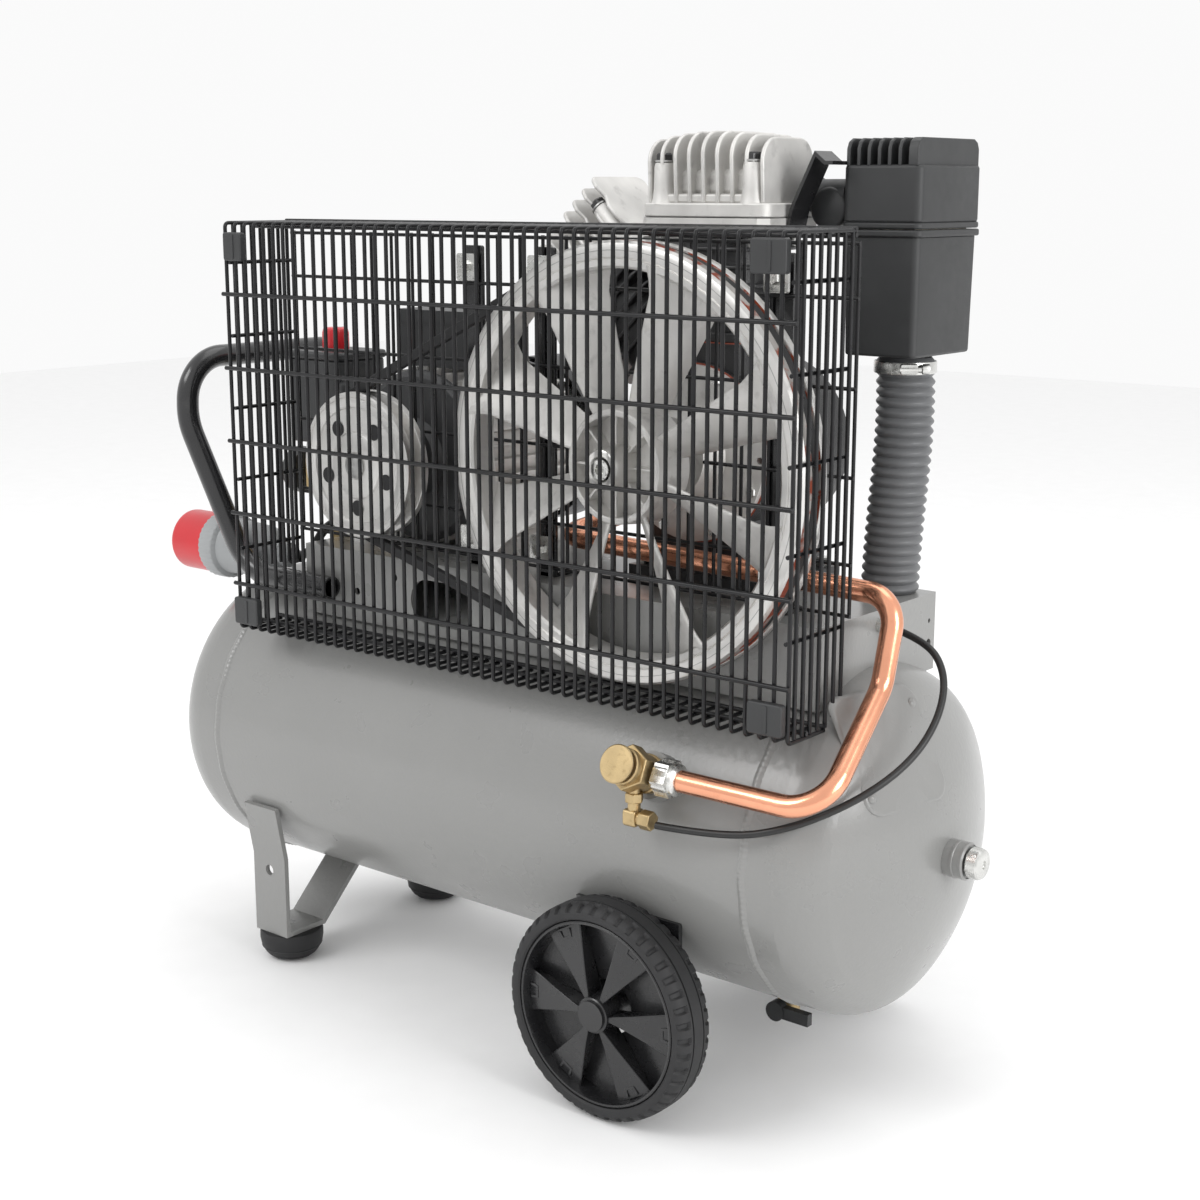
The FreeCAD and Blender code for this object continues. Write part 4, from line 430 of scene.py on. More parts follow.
def make_guard():
    """The wire basket: bent hoops, long rods, side wires and the back grid."""
    step = (RIGHT - LEFT - 2 * HALF) / 48
    bend = 9
    top, bottom, face = HIGH - HALF, LOW + HALF, FRONT + HALF
    hoops = []
    for k in range(49):
        x = LEFT + HALF + k * step
        hoops.append([(x, BACK, top), (x, face + bend, top), (x, face, top), (x, face, top - bend),
                      (x, face, bottom + bend), (x, face, bottom), (x, face + bend, bottom),
                      (x, -99, bottom)])
    basket = wires("guard_hoops", hoops, HALF, "black_wire", sides=2)
    rods = [[(LEFT - 1, face - 3.4, z), (RIGHT + 1, face - 3.4, z)] for z in (672, 603, 534, 465, 396)]
    rods += [[(LEFT, y, top - 3.4), (RIGHT, y, top - 3.4)] for y in (BACK - 2, -112)]
    rods += [[(LEFT, y, bottom + 3.4), (RIGHT, y, bottom + 3.4)] for y in (-101, -126)]
    rods.append([(LEFT, BACK - 2, top + 1.2), (RIGHT, BACK - 2, top + 1.2)])
    wires("guard_rods", rods, 2.0, "black_wire", sides=3)
    ribs = []
    for x in (LEFT + HALF + 0.3, RIGHT - HALF - 0.3):
        for k in range(7):
            y = FRONT + 11 + k * 11
            foot = bottom + 2
            if abs(y) < 150:
                foot = max(foot, TANK_Z + math.sqrt(150 ** 2 - y ** 2) + 4)
            if x < 0 and y > -118:
                foot = 408
            ribs.append([(x, y, top - 1), (x, y, foot)])
        inward = 3.4 if x < 0 else -3.4
        for z in (701, 633, 565, 497, 430):
            ribs.append([(x + inward, face, z), (x + inward, BACK, z)])
    wires("guard_sides", ribs, HALF, "black_wire", sides=2)
    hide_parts("guard_basket")
    back = []
    for k in range(25):
        x = LEFT + 2 + k * (RIGHT - LEFT - 4) / 24
        start = 436
        for lower, upper in grid_gaps("x", x):
            back.append([(x, GRID_Y, start), (x, GRID_Y, lower)])
            start = upper
        back.append([(x, GRID_Y, start), (x, GRID_Y, 729)])
    for z in (438, 479, 548, 617, 686, 727):
        start = LEFT
        for lower, upper in sorted(grid_gaps("z", z)):
            back.append([(start, GRID_Y - 2.2, z), (lower, GRID_Y - 2.2, z)])
            start = upper
        back.append([(start, GRID_Y - 2.2, z), (RIGHT, GRID_Y - 2.2, z)])
    panel = wires("guard_back_grid", back, 1.6, "black_wire", sides=2)
    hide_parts("guard_rear_panel")


def make_clips():
    """Black corner clips, and the uprights with their clamp plates and bolts."""
    spots = ((LEFT + 9, HIGH - 36, 24), (RIGHT - 38, HIGH - 32, 32), (LEFT + 4, LOW + 8, 32),
             (RIGHT - 34, LOW + 8, 32))
    for k, (x, z, wide) in enumerate(spots):
        slab("clip_%d" % k, rounded(wide, 26, 2.5, 3, (wide / 2, 13)), 7.6,
                          (x, FRONT - 0.4, z), (1, 0, 0), (0, 0, 1), "black_plastic", bevel=1.2)
        slab("clip_rib_%d" % k, rounded(3, 22, 1, 2, (wide * 0.55, 13)), 1.4, (x, FRONT - 7.4, z),
             (1, 0, 0), (0, 0, 1), "black_plastic", bevel=0.4)
    for k, x in enumerate((-68, 16, 262)):
        slab("upright_%d" % k, rounded(22, 290, 2, 2, (11, 145)), 4, (x, -59.2, 429),
                          (1, 0, 0), (0, 0, 1), "black_paint", bevel=0.6)
        slab("upright_foot_%d" % k, rounded(22, 26, 3, 3, (11, 13)), 4, (x, -63.2, 429), (1, 0, 0),
             (0, 1, 0), "black_paint", bevel=0.6)
        for z in (455, 700):
            slab("clamp_plate_%d_%d" % (k, z), rounded(24, 24, 2, 2, (11, 0)), 2.5,
                 (x, -69.5, z), (1, 0, 0), (0, 0, 1), "zinc", bevel=0.5)
            bolt_head("clamp_bolt_%d_%d" % (k, z), (x + 11, -72, z), (0, -1, 0), 10, 5)
    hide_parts("guard_fixings")


make_guard()
make_clips()


# ---------------------------------------------------------------- flywheel, pulley and belt
def make_flywheel():
    """Rim, hub, ribs, blades and screw; the sectors between the blades are open."""
    body = "flywheel_shaft"
    front, back = BELT_Y - 20, BELT_Y + 14
    x, _, z = CRANK

    def ring(name, profile, mat, **more):
        return turned(name, profile, (x, 0, z), (0, 1, 0), mat, body, count=128, closed=True, **more)
    rim = ring("flywheel_rim", [(160, front + 3), (162, front + 1), (167, front + 0.2), (168, front + 1.2),
                                (169, front + 0.2), (176, front), (180, front + 1.5), (182, front + 4),
                                (182, BELT_Y - 8), (181, BELT_Y - 7), (172, BELT_Y - 5), (172, BELT_Y + 5),
                                (181, BELT_Y + 7), (182, BELT_Y + 8), (182, back - 1), (181, back),
                                (166, back), (163, back - 3), (161, back - 12)], "machined", angle=25)
    ring("flywheel_groove", [(180.6, BELT_Y - 6.9), (172.1, BELT_Y - 4.9), (172.1, BELT_Y + 4.9),
                             (180.6, BELT_Y + 6.9), (180.2, BELT_Y + 7.2), (171.8, BELT_Y + 5.2),
                             (171.8, BELT_Y - 5.2), (180.2, BELT_Y - 7.2)], "groove", angle=25)
    ring("flywheel_land", [(181.9, front + 4.6), (182.2, front + 4.8), (182.2, BELT_Y - 8.2),
                           (181.9, BELT_Y - 8)], "groove", angle=25)
    ring("flywheel_rim_inner", [(161.2, front + 3), (160.0, front + 4), (160.0, back - 6), (161.6, back - 3),
                                (162.5, back - 3.5), (162, front + 3)], "cast", angle=25)
    ring("flywheel_hub", [(42, front - 3.4), (43, front - 4), (46, front - 4), (47.2, front - 3),
                          (50, back - 10), (50, back), (13.2, back), (13.2, front + 9),
                          (41.5, front + 13)], "cast", angle=30)
    ring("flywheel_boss", [(20, back - 2), (18.5, front), (17, front - 16), (16, front - 19.4),
                           (15, front - 20), (11, front - 20), (10, front - 19), (9.6, front - 12),
                           (9.6, front - 11), (12.6, front - 10.4), (12.6, back - 2)], "machined", angle=30)
    for k in range(8):
        turn = math.radians(45 * k)
        out = Vector((math.cos(turn), 0, -math.sin(turn)))
        side = Vector((math.sin(turn), 0, math.cos(turn)))
        rows, verts = 6, []
        for j in range(rows):
            along = 16 + (43.5 - 16) * j / (rows - 1)
            crest = front + 1 - 1.5 * math.sin(math.pi * j / (rows - 1))
            thick = 1.9 - 0.3 * j / rows
            for h, w in ((crest, -thick * 0.6), (crest, thick * 0.6),
                         (front + 14, thick), (front + 14, -thick)):
                verts.append(P(x, 0, z) + (out * along + side * w + Vector((0, h, 0))) * MM)
        weld(piece("flywheel_rib_%d" % k, verts, skin(rows, 4), "cast", body, 40, 0.6))
        make_blade(k, body, (front + back) / 2)
    turned("flywheel_rim_line", [(174.0, front - 0.15), (174.6, front - 0.15), (174.6, front + 0.4),
                                 (174.0, front + 0.4)], (x, 0, z), (0, 1, 0), "steel", body, 128, True)
    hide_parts("flywheel")
    head = turned("hub_screw", [(0, -139.2), (4.4, -139.2), (4.6, -145.2), (7.8, -145.8), (8.9, -144.8),
                                (9.0, -136.2), (0, -136.2)], (x, 0, z), (0, 1, 0), "zinc", body, 32)
    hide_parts("flywheel_bolt")


def make_blade(k, body, middle):
    """One twisted fan blade: steep and narrow at the hub, flatter and wide at the rim."""
    turn = math.radians(22.5 + 45 * k)
    out = Vector((math.cos(turn), 0, -math.sin(turn)))
    side = Vector((math.sin(turn), 0, math.cos(turn)))
    rows = 12
    section = [(-0.5, 0.0), (-0.49, 0.5), (-0.46, 0.8), (-0.25, 1.0), (0.0, 1.05), (0.25, 1.0),
               (0.46, 0.8), (0.49, 0.5), (0.5, 0.0), (0.49, -0.5), (0.46, -0.8), (0.25, -1.0),
               (0.0, -0.95), (-0.25, -1.0), (-0.46, -0.8), (-0.49, -0.5)]
    verts = []
    for j in range(rows):
        part = j / (rows - 1)
        radius = 46 + (162.5 - 46) * part
        chord = 31 + 30 * part ** 0.9
        flare = 1 + 0.25 * max(0, part - 0.85) / 0.15
        pitch = math.radians(52 - 24 * part)
        wide = Vector((0, -math.sin(pitch), 0)) + side * math.cos(pitch)
        thin = Vector((0, math.cos(pitch), 0)) + side * math.sin(pitch)
        for a, b in section:
            camber = 1.8 * (1 - (2 * a) ** 2)
            spot = out * radius + wide * (a * chord * flare) + thin * (b * 2.3 - camber)
            verts.append(P(CRANK[0], middle, CRANK[2]) + spot * MM)
    weld(piece("flywheel_blade_%d" % k, verts, skin(rows, len(section)), "cast", body, 50))


def make_belt():
    """The V belt round both grooves: flat back outside, slanted sides."""
    small, large = Vector((MOTOR[0], MOTOR[2])), Vector((CRANK[0], CRANK[2]))
    gap = large - small
    along = gap.normalized()
    outer, inner = 179.5, 67.5
    lean = math.acos(-(outer - inner) / gap.length)
    base = math.atan2(along.y, along.x)
    path = []
    for k in range(49):
        turn = base + lean - 2 * lean * k / 48
        path.append((large, outer, turn))
    for k in range(33):
        turn = base - lean - (2 * math.pi - 2 * lean) * k / 32
        path.append((small, inner, turn))
    section = [(0.0, -4.9), (0.5, -4.3), (0.5, 4.3), (0.0, 4.9), (-7.0, 3.4), (-7.5, 2.8), (-7.5, -2.8),
               (-7.0, -3.4)]
    verts, faces = [], []
    for centre, radius, turn in path:
        for rise, y in section:
            reach = radius + rise
            verts.append(P(centre.x + reach * math.cos(turn), BELT_Y + y,
                           centre.y + reach * math.sin(turn)))
    size, count = len(section), len(path)
    for j in range(count):
        for i in range(size):
            a, b = j * size + i, j * size + (i + 1) % size
            c, d = ((j + 1) % count) * size + (i + 1) % size, ((j + 1) % count) * size + i
            faces.append((a, b, c, d))
    belt = piece("v_belt", verts, faces, "rubber", "frame", 30)
    weld(belt)
    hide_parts("drive_belt")


def make_pulley():
    """The motor's pulley with black discs as painted shade where its holes are, and its nut."""
    body = "motor_shaft"
    x, _, z = MOTOR
    face = BELT_Y - 14
    disc = turned("pulley_disc", [(12, face + 0.5), (13, face), (29, face), (30.5, face + 0.6),
                                  (32, face + 2.4), (53, face + 2.4), (54, face + 0.8),
                                  (55, face + 0.3), (62.6, face),
                                  (63, face + 0.6), (63.4, face), (66.5, face), (68, face + 1.5),
                                  (68, BELT_Y - 7.5), (67.5, BELT_Y - 7), (58, BELT_Y - 4.8),
                                  (58, BELT_Y + 4.8), (67.5, BELT_Y + 7), (68, BELT_Y + 7.5),
                                  (68, face + 27), (67, face + 28), (54, face + 28), (52, face + 10),
                                  (26, face + 10), (24, face + 28), (12, face + 28)],
                  (x, 0, z), (0, 1, 0), "machined", body, 96, True, angle=25)
    # five thin black discs on the face are painted shade standing in for the pulley's holes
    for k in range(5):
        turn = math.radians(90 + 72 * k)
        spot = (x + 40 * math.cos(turn), face + 2.2, z - 40 * math.sin(turn))
        turned("pulley_hole_shade_%d" % k, [(6.8, 0.0), (7.4, 0.15), (7.4, 0.4), (6.4, 0.4), (0.01, 0.38)],
               spot, (0, -1, 0), "rubber", body, 24)
    turned("pulley_nut", [(0.01, face - 3.5), (4, face - 3.5), (5, face - 2.8), (9, face - 2.6),
                          (10, face - 1.8), (11.8, face - 1.4), (12, face + 1), (12, face + 3)],
           (x, 0, z), (0, 1, 0), "steel", body, 32)
    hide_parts("motor_pulley")


make_flywheel()
make_belt()
make_pulley()


# ---------------------------------------------------------------- wheels and feet
def make_wheel(name, sign):
    """A wheel with a blocked tread and a six-spoked rim; sign is the side it stands on."""
    body = "wheel_" + name
    x, y, z = 181.5, sign * 167, 95
    axis = (0, sign, 0)

    def tread(turn, radius, along):
        if radius > 90:
            phase = (turn * 44 / (2 * math.pi)) % 1.0
            if along < 0:
                phase = (phase + 0.5) % 1.0
            deep = abs(along) > 9.5
            if deep and phase < 0.28:
                radius -= 2.6 * min(1.0, (abs(along) - 9) / 1.5)
        return radius, along
    half = 21
    profile = [(81, -half + 5), (81.5, -half + 2), (83, -half + 0.6), (86, -half), (88.5, -half + 0.3),
               (91, -half + 2), (93, -half + 4.5), (94.2, -half + 7), (94.6, -11), (94.8, -9.4),
               (94.9, -7.6), (93.2, -7.3), (93.2, -6.3), (95, -6.0), (95, -2), (95, 2), (95, 6.0),
               (93.2, 6.3), (93.2, 7.3), (94.9, 7.6), (94.8, 9.4), (94.6, 11), (94.2, half - 7),
               (93, half - 4.5), (91, half - 2), (88.5, half - 0.3), (86, half), (83, half - 0.6),
               (81.5, half - 2), (81, half - 5)]
    tyre = turned("tyre_tread_" + name, profile, (x, y, z), axis, "tyre", body, 352, True, tread,
                  angle=30)
    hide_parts("tyre_" + name)
    rim = turned("rim_band_" + name, [(81, half - 5), (80.5, half - 2.2), (79.5, half - 1.6), (78, half - 2),
                                      (77, half - 5), (75.4, 4), (75, 0), (75.4, -8), (77, -half + 5),
                                      (81, -half + 5)],
                 (x, y, z), axis, "wheel_plastic", body, 96, True, angle=30)
    turned("rim_dish_" + name, [(76, -1), (76, 1), (24, -2), (24, -4)], (x, y, z), axis,
           "wheel_plastic", body, 72, True)
    turned("rim_hub_" + name, [(10.1, 20.6), (11, 21.4), (14.6, 21.4), (15.6, 20.6), (16.5, 8),
                               (18, -4), (17, -21), (10.1, -21)],
           (x, y, z), axis, "wheel_plastic", body, 48, True, angle=30)
    for k in range(6):
        turn = math.radians(60 * k)
        out = Vector((math.cos(turn), 0, math.sin(turn)))
        side = Vector((0, sign, 0)).cross(out)

        def spot(r, w, h):
            return P(x, y, z) + (out * r + side * w + Vector((0, sign * h, 0))) * MM
        stations = ((14.5, 2.2, 18.5), (30, 6.0, 16.5), (50, 12.0, 14.0), (66, 17.0, 12.2),
                    (76, 20.0, 11.2))
        verts = []
        for r, w, h in stations:
            verts += [spot(r, -w, h - 0.4), spot(r, -w * 0.94, h + 0.5), spot(r, w * 0.94, h + 0.5),
                      spot(r, w, h - 0.4), spot(r, w * 0.7, -1.0), spot(r, -w * 0.7, -1.0)]
        weld(piece("rim_spoke_%s_%d" % (name, k), verts, skin(len(stations), 6), "wheel_plastic", body,
                   30, 0.5))
        mark = [(66, -5.5), (66, 5.5), (74, 7.0), (74, 4.6), (68.2, 3.6), (68.2, -3.6), (74, -4.6),
                (74, -7.0)]
        flat = [spot(r, w, 12.9 + lift) for lift in (-1.2, 0.35) for r, w in mark]
        weld(piece("rim_mark_%s_%d" % (name, k), flat, skin(2, len(mark)), "wheel_plastic", body,
                   30, 0.3))
    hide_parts("rim_" + name)
    turned("axle_cap_" + name, [(0.01, 22.9), (6, 22.6), (9.2, 21.4), (9.9, 20.4), (9.9, 16)],
           (x, y, z), axis, "black_paint", "frame", 32)


def make_foot(name, sign):
    """A bowl-shaped rubber foot with two rings."""
    spot = (-283, sign * 106, 0)
    profile = [(0.01, 0), (16, 0), (22, 2.2), (27, 7), (30.5, 13.5), (32, 21), (32, 27), (31, 29.4),
               (28, 30.4), (0.01, 30.4)]
    pad = turned("foot_rubber_" + name, profile, spot, (0, 0, 1), "rubber", "frame", 64, angle=35)
    for r, (low, middle, high) in ((24, (4.0, 5.2, 6.6)), (29, (11.0, 12.6, 14.0))):
        turned("foot_ring_%s_%d" % (name, r), [(r, low), (r + 1.6, middle), (r + 0.2, high)],
               spot, (0, 0, 1), "rubber", "frame", 64, True)
    return pad


make_wheel("front", -1)
make_wheel("rear", 1)
FOOT = make_foot("front", -1)
make_foot("back", 1)
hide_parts("rubber_feet")


# ---------------------------------------------------------------- receiver
def dome_x(y, z, lift=0.0):
    """X of the right dished end at a point of its face, in millimetres."""
    off = y ** 2 + (z - TANK_Z) ** 2
    return TANK_TIP - TANK_DOME + math.sqrt(max(0.0, (TANK_DOME + lift) ** 2 - off))


def make_receiver():
    """Weld seams, the blank plate with its rivets, and the end plug."""
    for name, x in (("left", -333.5), ("right", 303.5)):
        bead = [(149.6, -4.5), (150.5, -3.2), (151.5, -1.2), (151.8, 0), (151.5, 1.2), (150.5, 3.2),
                (149.6, 4.5), (149, 0)]

        def ripple(turn, radius, along):
            lift = 0.22 * math.sin(turn * 190) if radius > 150 else 0
            return radius + lift, along + 0.5 * math.sin(turn * 23)
        turned("seam_" + name, bead, (x, 0, TANK_Z), (1, 0, 0), "grey_paint", "frame", 720, True, ripple)
    plate_y, plate_z = -47, 330
    outline = rounded(92, 90, 14, 8, (plate_y, plate_z))
    steps = ((1.0, -0.4), (0.995, 1.1), (0.96, 1.8), (0.93, 1.1), (0.5, 1.1), (0.02, 1.1))
    verts = []
    for shrink, lift in steps:
        for y, z in outline:
            a, b = plate_y + (y - plate_y) * shrink, plate_z + (z - plate_z) * shrink
            verts.append(P(dome_x(a, b, lift), a, b))
    weld(piece("blank_plate", verts, skin(len(steps), len(outline), first=False), "grey_paint",
               "frame", 50))
    for k, (y, z) in enumerate(((-86, 300), (-10, 360))):
        turned("plate_rivet_%d" % k, [(0.01, 2.4), (2.5, 2.0), (4, 0.8), (4.4, -0.5)],
               (dome_x(y, z, 0.6), y, z), (0.9, y / TANK_DOME, (z - TANK_Z) / TANK_DOME), "grey_paint",
               "frame", 24)
    cap = turned("plug_cap", [(0.01, 27.6), (3, 27.4), (3.4, 28.6), (8, 28.9), (11.8, 27.6), (12.8, 26),
                              (13, 18), (12.4, 17)], (409.4, 0, TANK_Z), (1, 0, 0), "zinc", "frame", 48,
                 angle=30)
    hexagon = slab("plug_hex", ngon(13.6, 6, 0.26), 9, (426, 0, TANK_Z), (0, 1, 0), (0, 0, 1), "zinc",
                   bevel=1.0)
    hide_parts("tank_plug")
    for k, r in enumerate((14.2, 14.6)):
        turned("plug_rim_%d" % k, [(r, 0), (r + 1.6, 1.2), (r + 1.6, 2.8), (r, 4)],
               (421.4 - 8 * k, 0, TANK_Z), (1, 0, 0), "grey_paint", "frame", 48, True)


make_receiver()


# ---------------------------------------------------------------- pump
def pump_frame(tilted, plane):
    """A cylinder's axis, and a function that places a point across, along the crank and up."""
    angle = math.radians(-45 if tilted else 0)
    across = Vector((math.cos(angle), 0, -math.sin(angle)))
    up = Vector((math.sin(angle), 0, math.cos(angle)))
    base, along = Vector((CRANK[0], plane, CRANK[2])), Vector((0, 1, 0))

    def at(a, b, c):
        return tuple(base + across * a + along * b + up * c)
    return at, across, along, up


def make_head(name, tilted, plane):
    """A finned cylinder head with its posts and nuts, and the gaskets below it."""
    at, across, along, up = pump_frame(tilted, plane)
    first = slab("head_base_" + name, rounded(130, 84, 12, 5), 12, at(0, 0, 198.4), across, along, "cast",
                 bevel=1.4)
    slab("head_step_" + name, rounded(118, 74, 10, 5), 8, at(0, 0, 210), across, along, "cast", bevel=2.0)
    slab("head_core_" + name, rounded(104, 62, 16, 6), 22, at(0, 0, 216), across, along, "cast", bevel=5.0)
    for k in range(9):
        a = -58 + 14.5 * k
        edge = abs(k - 4) / 4
        top = 270.3 if tilted else 269.8 - 6 * edge ** 2
        half = 41 - 3 * edge ** 3
        bend = 9 if tilted else 20
        curve = []
        for sx in (1, -1):
            steps = []
            for j in range(7):
                turn = math.radians(90 * j / 6)
                steps.append((sx * (half - bend + bend * math.cos(turn)),
                              top - bend + bend * math.sin(turn)))
            curve += steps if sx > 0 else steps[::-1]
        if tilted:
            curve = [(b + 1.5 * math.sin(c * 0.22), c) for b, c in curve]
            side = [(-half + 4 * math.sin(j * 1.9), top - 12 - (top - 224) * j / 4) for j in range(4)]
            curve = curve + side
        outline = [(half - 2, 210)] + curve + [(-half + 2, 210)]
        slab("head_fin_%s_%d" % (name, k), outline, 3.6, at(a - 1.8, 0, 0), along, up, "cast", bevel=1.3)
    for k, (a, b) in enumerate(((-46, -31), (46, -31), (-46, 31), (46, 31))):
        turned("head_post_%s_%d" % (name, k), [(11.5, 209), (10.2, 214), (9.4, 222), (9.0, 240),
                                               (8.2, 243.5), (6.4, 244.4), (0.01, 244.4)],
               at(a, b, 0), up, "cast", "frame", 32)
        turned("head_washer_%s_%d" % (name, k), [(8.6, 244.4), (8.6, 245.8), (0.01, 245.8)],
               at(a, b, 0), up, "steel", "frame", 24)
        bolt_head("head_nut_%s_%d" % (name, k), at(a, b, 245.6), up, 13, 6.2, "black_paint")
    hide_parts("head_" + name)
    slab("gasket_" + name, rounded(76, 84, 8, 4), 1.4, at(0, 0, 93.6), across, along, "gasket", bevel=0.2)
    slab("seal_" + name, rounded(131, 85, 12, 5), 1.2, at(0, 0, 197), across, along, "black_casting",
         bevel=0.2)


def make_cylinder(name, tilted, plane):
    """A black cylinder: liner, foot, fins and top flange."""
    at, across, along, up = pump_frame(tilted, plane)
    liner = turned("liner_" + name, [(40.5, 94.5), (40.5, 190), (34, 190), (34, 94.5)], at(0, 0, 0), up,
                   "black_casting", "frame", 64, True)
    slab("barrel_foot_" + name, rounded(74, 82, 8, 4), 9, at(0, 0, 94.5), across, along, "black_casting",
         bevel=1.5)
    for k in range(5):
        wide = 88 if k == 0 else 102
        slab("barrel_fin_%s_%d" % (name, k), rounded(wide, 86, 20, 6), 3.4, at(0, 0, 111 + 15 * k),
             across, along, "black_casting", bevel=1.2)
    slab("barrel_top_" + name, rounded(122, 85, 12, 5), 8, at(0, 0, 182), across, along,
         "black_casting", bevel=1.0)
    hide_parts("cylinder_" + name)


for NAME, TILTED, PLANE in (("upright", False, 32), ("tilted", True, 62)):
    make_head(NAME, TILTED, PLANE)
    make_cylinder(NAME, TILTED, PLANE)


def make_case_details():
    """Cover gasket and bolts, the case's feet bolts and the sight glass's ring."""
    x, _, z = CRANK
    turned("cover_gasket", [(70, -15.2), (77.6, -15.2), (77.6, -13.6), (70, -13.6)], (x, 0, z), (0, 1, 0),
           "gasket", "frame", 96, True)
    for k in range(8):
        turn = math.radians(45 * k + 22.5)
        bolt_head("cover_bolt_%d" % k, (x + 70 * math.cos(turn), -19.5, z + 70 * math.sin(turn)),
                  (0, -1, 0), 9, 5)
    for side in (-1, 1):
        for y in (2, 92):
            bolt_head("case_bolt_%d_%d" % (side, y), (x + side * 66, y, 439), (0, 0, 1), 13, 8)
    turned("glass_ring", [(9.2, 5.6), (10, 8.6), (12.4, 8.2), (13.2, 5.5), (13.2, 0)], (x + 75.4, 48, 512),
           (1, 0, 0), "black_plastic", "frame", 40)


make_case_details()


# ---------------------------------------------------------------- intake
def shell_box(name, low, high, radius, mat, taper=0.0, bevel=1.6):
    """An upright box with round corners that narrows downward."""
    x0, y0, z0 = low
    x1, y1, z1 = high
    verts = []
    outline = rounded(x1 - x0, y1 - y0, radius, 5)
    for z, shrink in ((z0, taper), (z1, 0.0)):
        for a, b in outline:
            verts.append(P((x0 + x1) / 2 + a * (1 - shrink), (y0 + y1) / 2 + b * (1 - shrink), z))
    return piece(name, verts, skin(2, len(outline)), mat, "frame", 35, bevel)


def make_filter():
    """Filter case with its flange, lid and comb, the spout and the elbow to the head."""
    body = shell_box("filter_case", (263, 42, 632), (333, 142, 731), 6, "black_plastic", 0.035, 2.2)
    shell_box("filter_flange", (260.2, 39.2, 729.5), (335.8, 144.8, 735.2), 7, "black_plastic", 0, 1.4)
    shell_box("filter_seam", (260.8, 39.8, 736), (335.2, 144.2, 741), 7, "black_plastic", 0, 1.4)
    lid = shell_box("filter_lid", (261.4, 40.4, 740.4), (334.6, 143.6, 787), 7, "black_plastic", 0, 2.4)
    for k in range(7):
        wide = 3.2 if k < 6 else 9.0
        curve = [(-51, 0), (51, 0), (51, 14), (48.5, 19.5), (43, 22.4), (-43, 22.4), (-48.5, 19.5),
                 (-51, 14)]
        slab("filter_comb_%d" % k, curve, wide, (264.6 + 9.6 * k, 92, 786), (0, 1, 0), (0, 0, 1),
             "black_plastic", bevel=0.9)
    slab("filter_bridge", rounded(66, 60, 2, 3), 20.5, (298, 96, 786.5), (1, 0, 0), (0, 1, 0),
         "black_plastic", bevel=1.5)
    turned("filter_spout", [(19.8, 608.4), (19.8, 633), (17, 633), (17, 608.4)], (298, 90, 0), (0, 0, 1),
           "black_plastic", "frame", 48, True)
    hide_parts("air_filter_body")
    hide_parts("air_filter_lid")
    elbow = turned("elbow_tube", [(15, 0.2), (15, 6), (13.6, 7.5), (13, 9), (13, 37), (11, 37), (11, 0.2)],
                   (220.6, 62, 763), (1, 0, 0), "black_plastic", "frame", 40, True)
    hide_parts("intake_elbow")
    turned("elbow_drum", [(0.01, -14), (15, -14), (17.5, -12), (18, -10), (18, 9), (17, 12), (14, 14),
                          (0.01, 14)], (243, 62, 752), (0, 1, 0), "black_plastic", "frame", 40)


def hose_line(z):
    """Centre of the hose at a height: it leans back towards the filter and bows outward."""
    part = (z - 429) / 200.0
    return 298 + 2.5 * math.sin(math.pi * part), 76 + 14 * part - 2.5 * math.sin(2 * math.pi * part)


def make_hose():
    """The corrugated hose, eight rows to each of its 24 waves, and its clamp."""
    verts = []
    rows, count = 24 * 8 + 1, 48
    for j in range(rows):
        z = 429.3 + 200 * j / (rows - 1)
        phase = (j % 8) / 8.0
        bulge = 0.5 - 0.5 * math.cos(2 * math.pi * phase)
        radius = 22.2 + 2.8 * bulge ** 0.7
        x, y = hose_line(z)
        for k in range(count):
            turn = 2 * math.pi * k / count
            verts.append(P(x + radius * math.cos(turn), y + radius * math.sin(turn), z))
    hose = piece("corrugated_hose", verts, skin(rows, count, False, False), "grey_pvc", "frame", 60)
    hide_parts("intake_hose")
    band = turned("clamp_band", [(25.3, 616), (26.2, 616), (26.6, 617), (26.6, 625), (26.2, 626),
                                 (25.3, 626)], (298, 90, 0), (0, 0, 1), "zinc", "frame", 64, True)
    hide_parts("hose_clamp")
    slab("clamp_box", rounded(15, 9, 2, 3), 6, (312, 71, 621), (0.8, 0.6, 0), (0, 0, 1), "zinc", bevel=0.8)
    turned("clamp_screw", [(0.01, 16), (4, 16), (4.4, 15), (4.4, 10), (3, 9), (3, -9), (0.01, -9)],
           (315, 69, 621), (0.8, 0.6, 0), "zinc", "frame", 20)


make_filter()
make_hose()


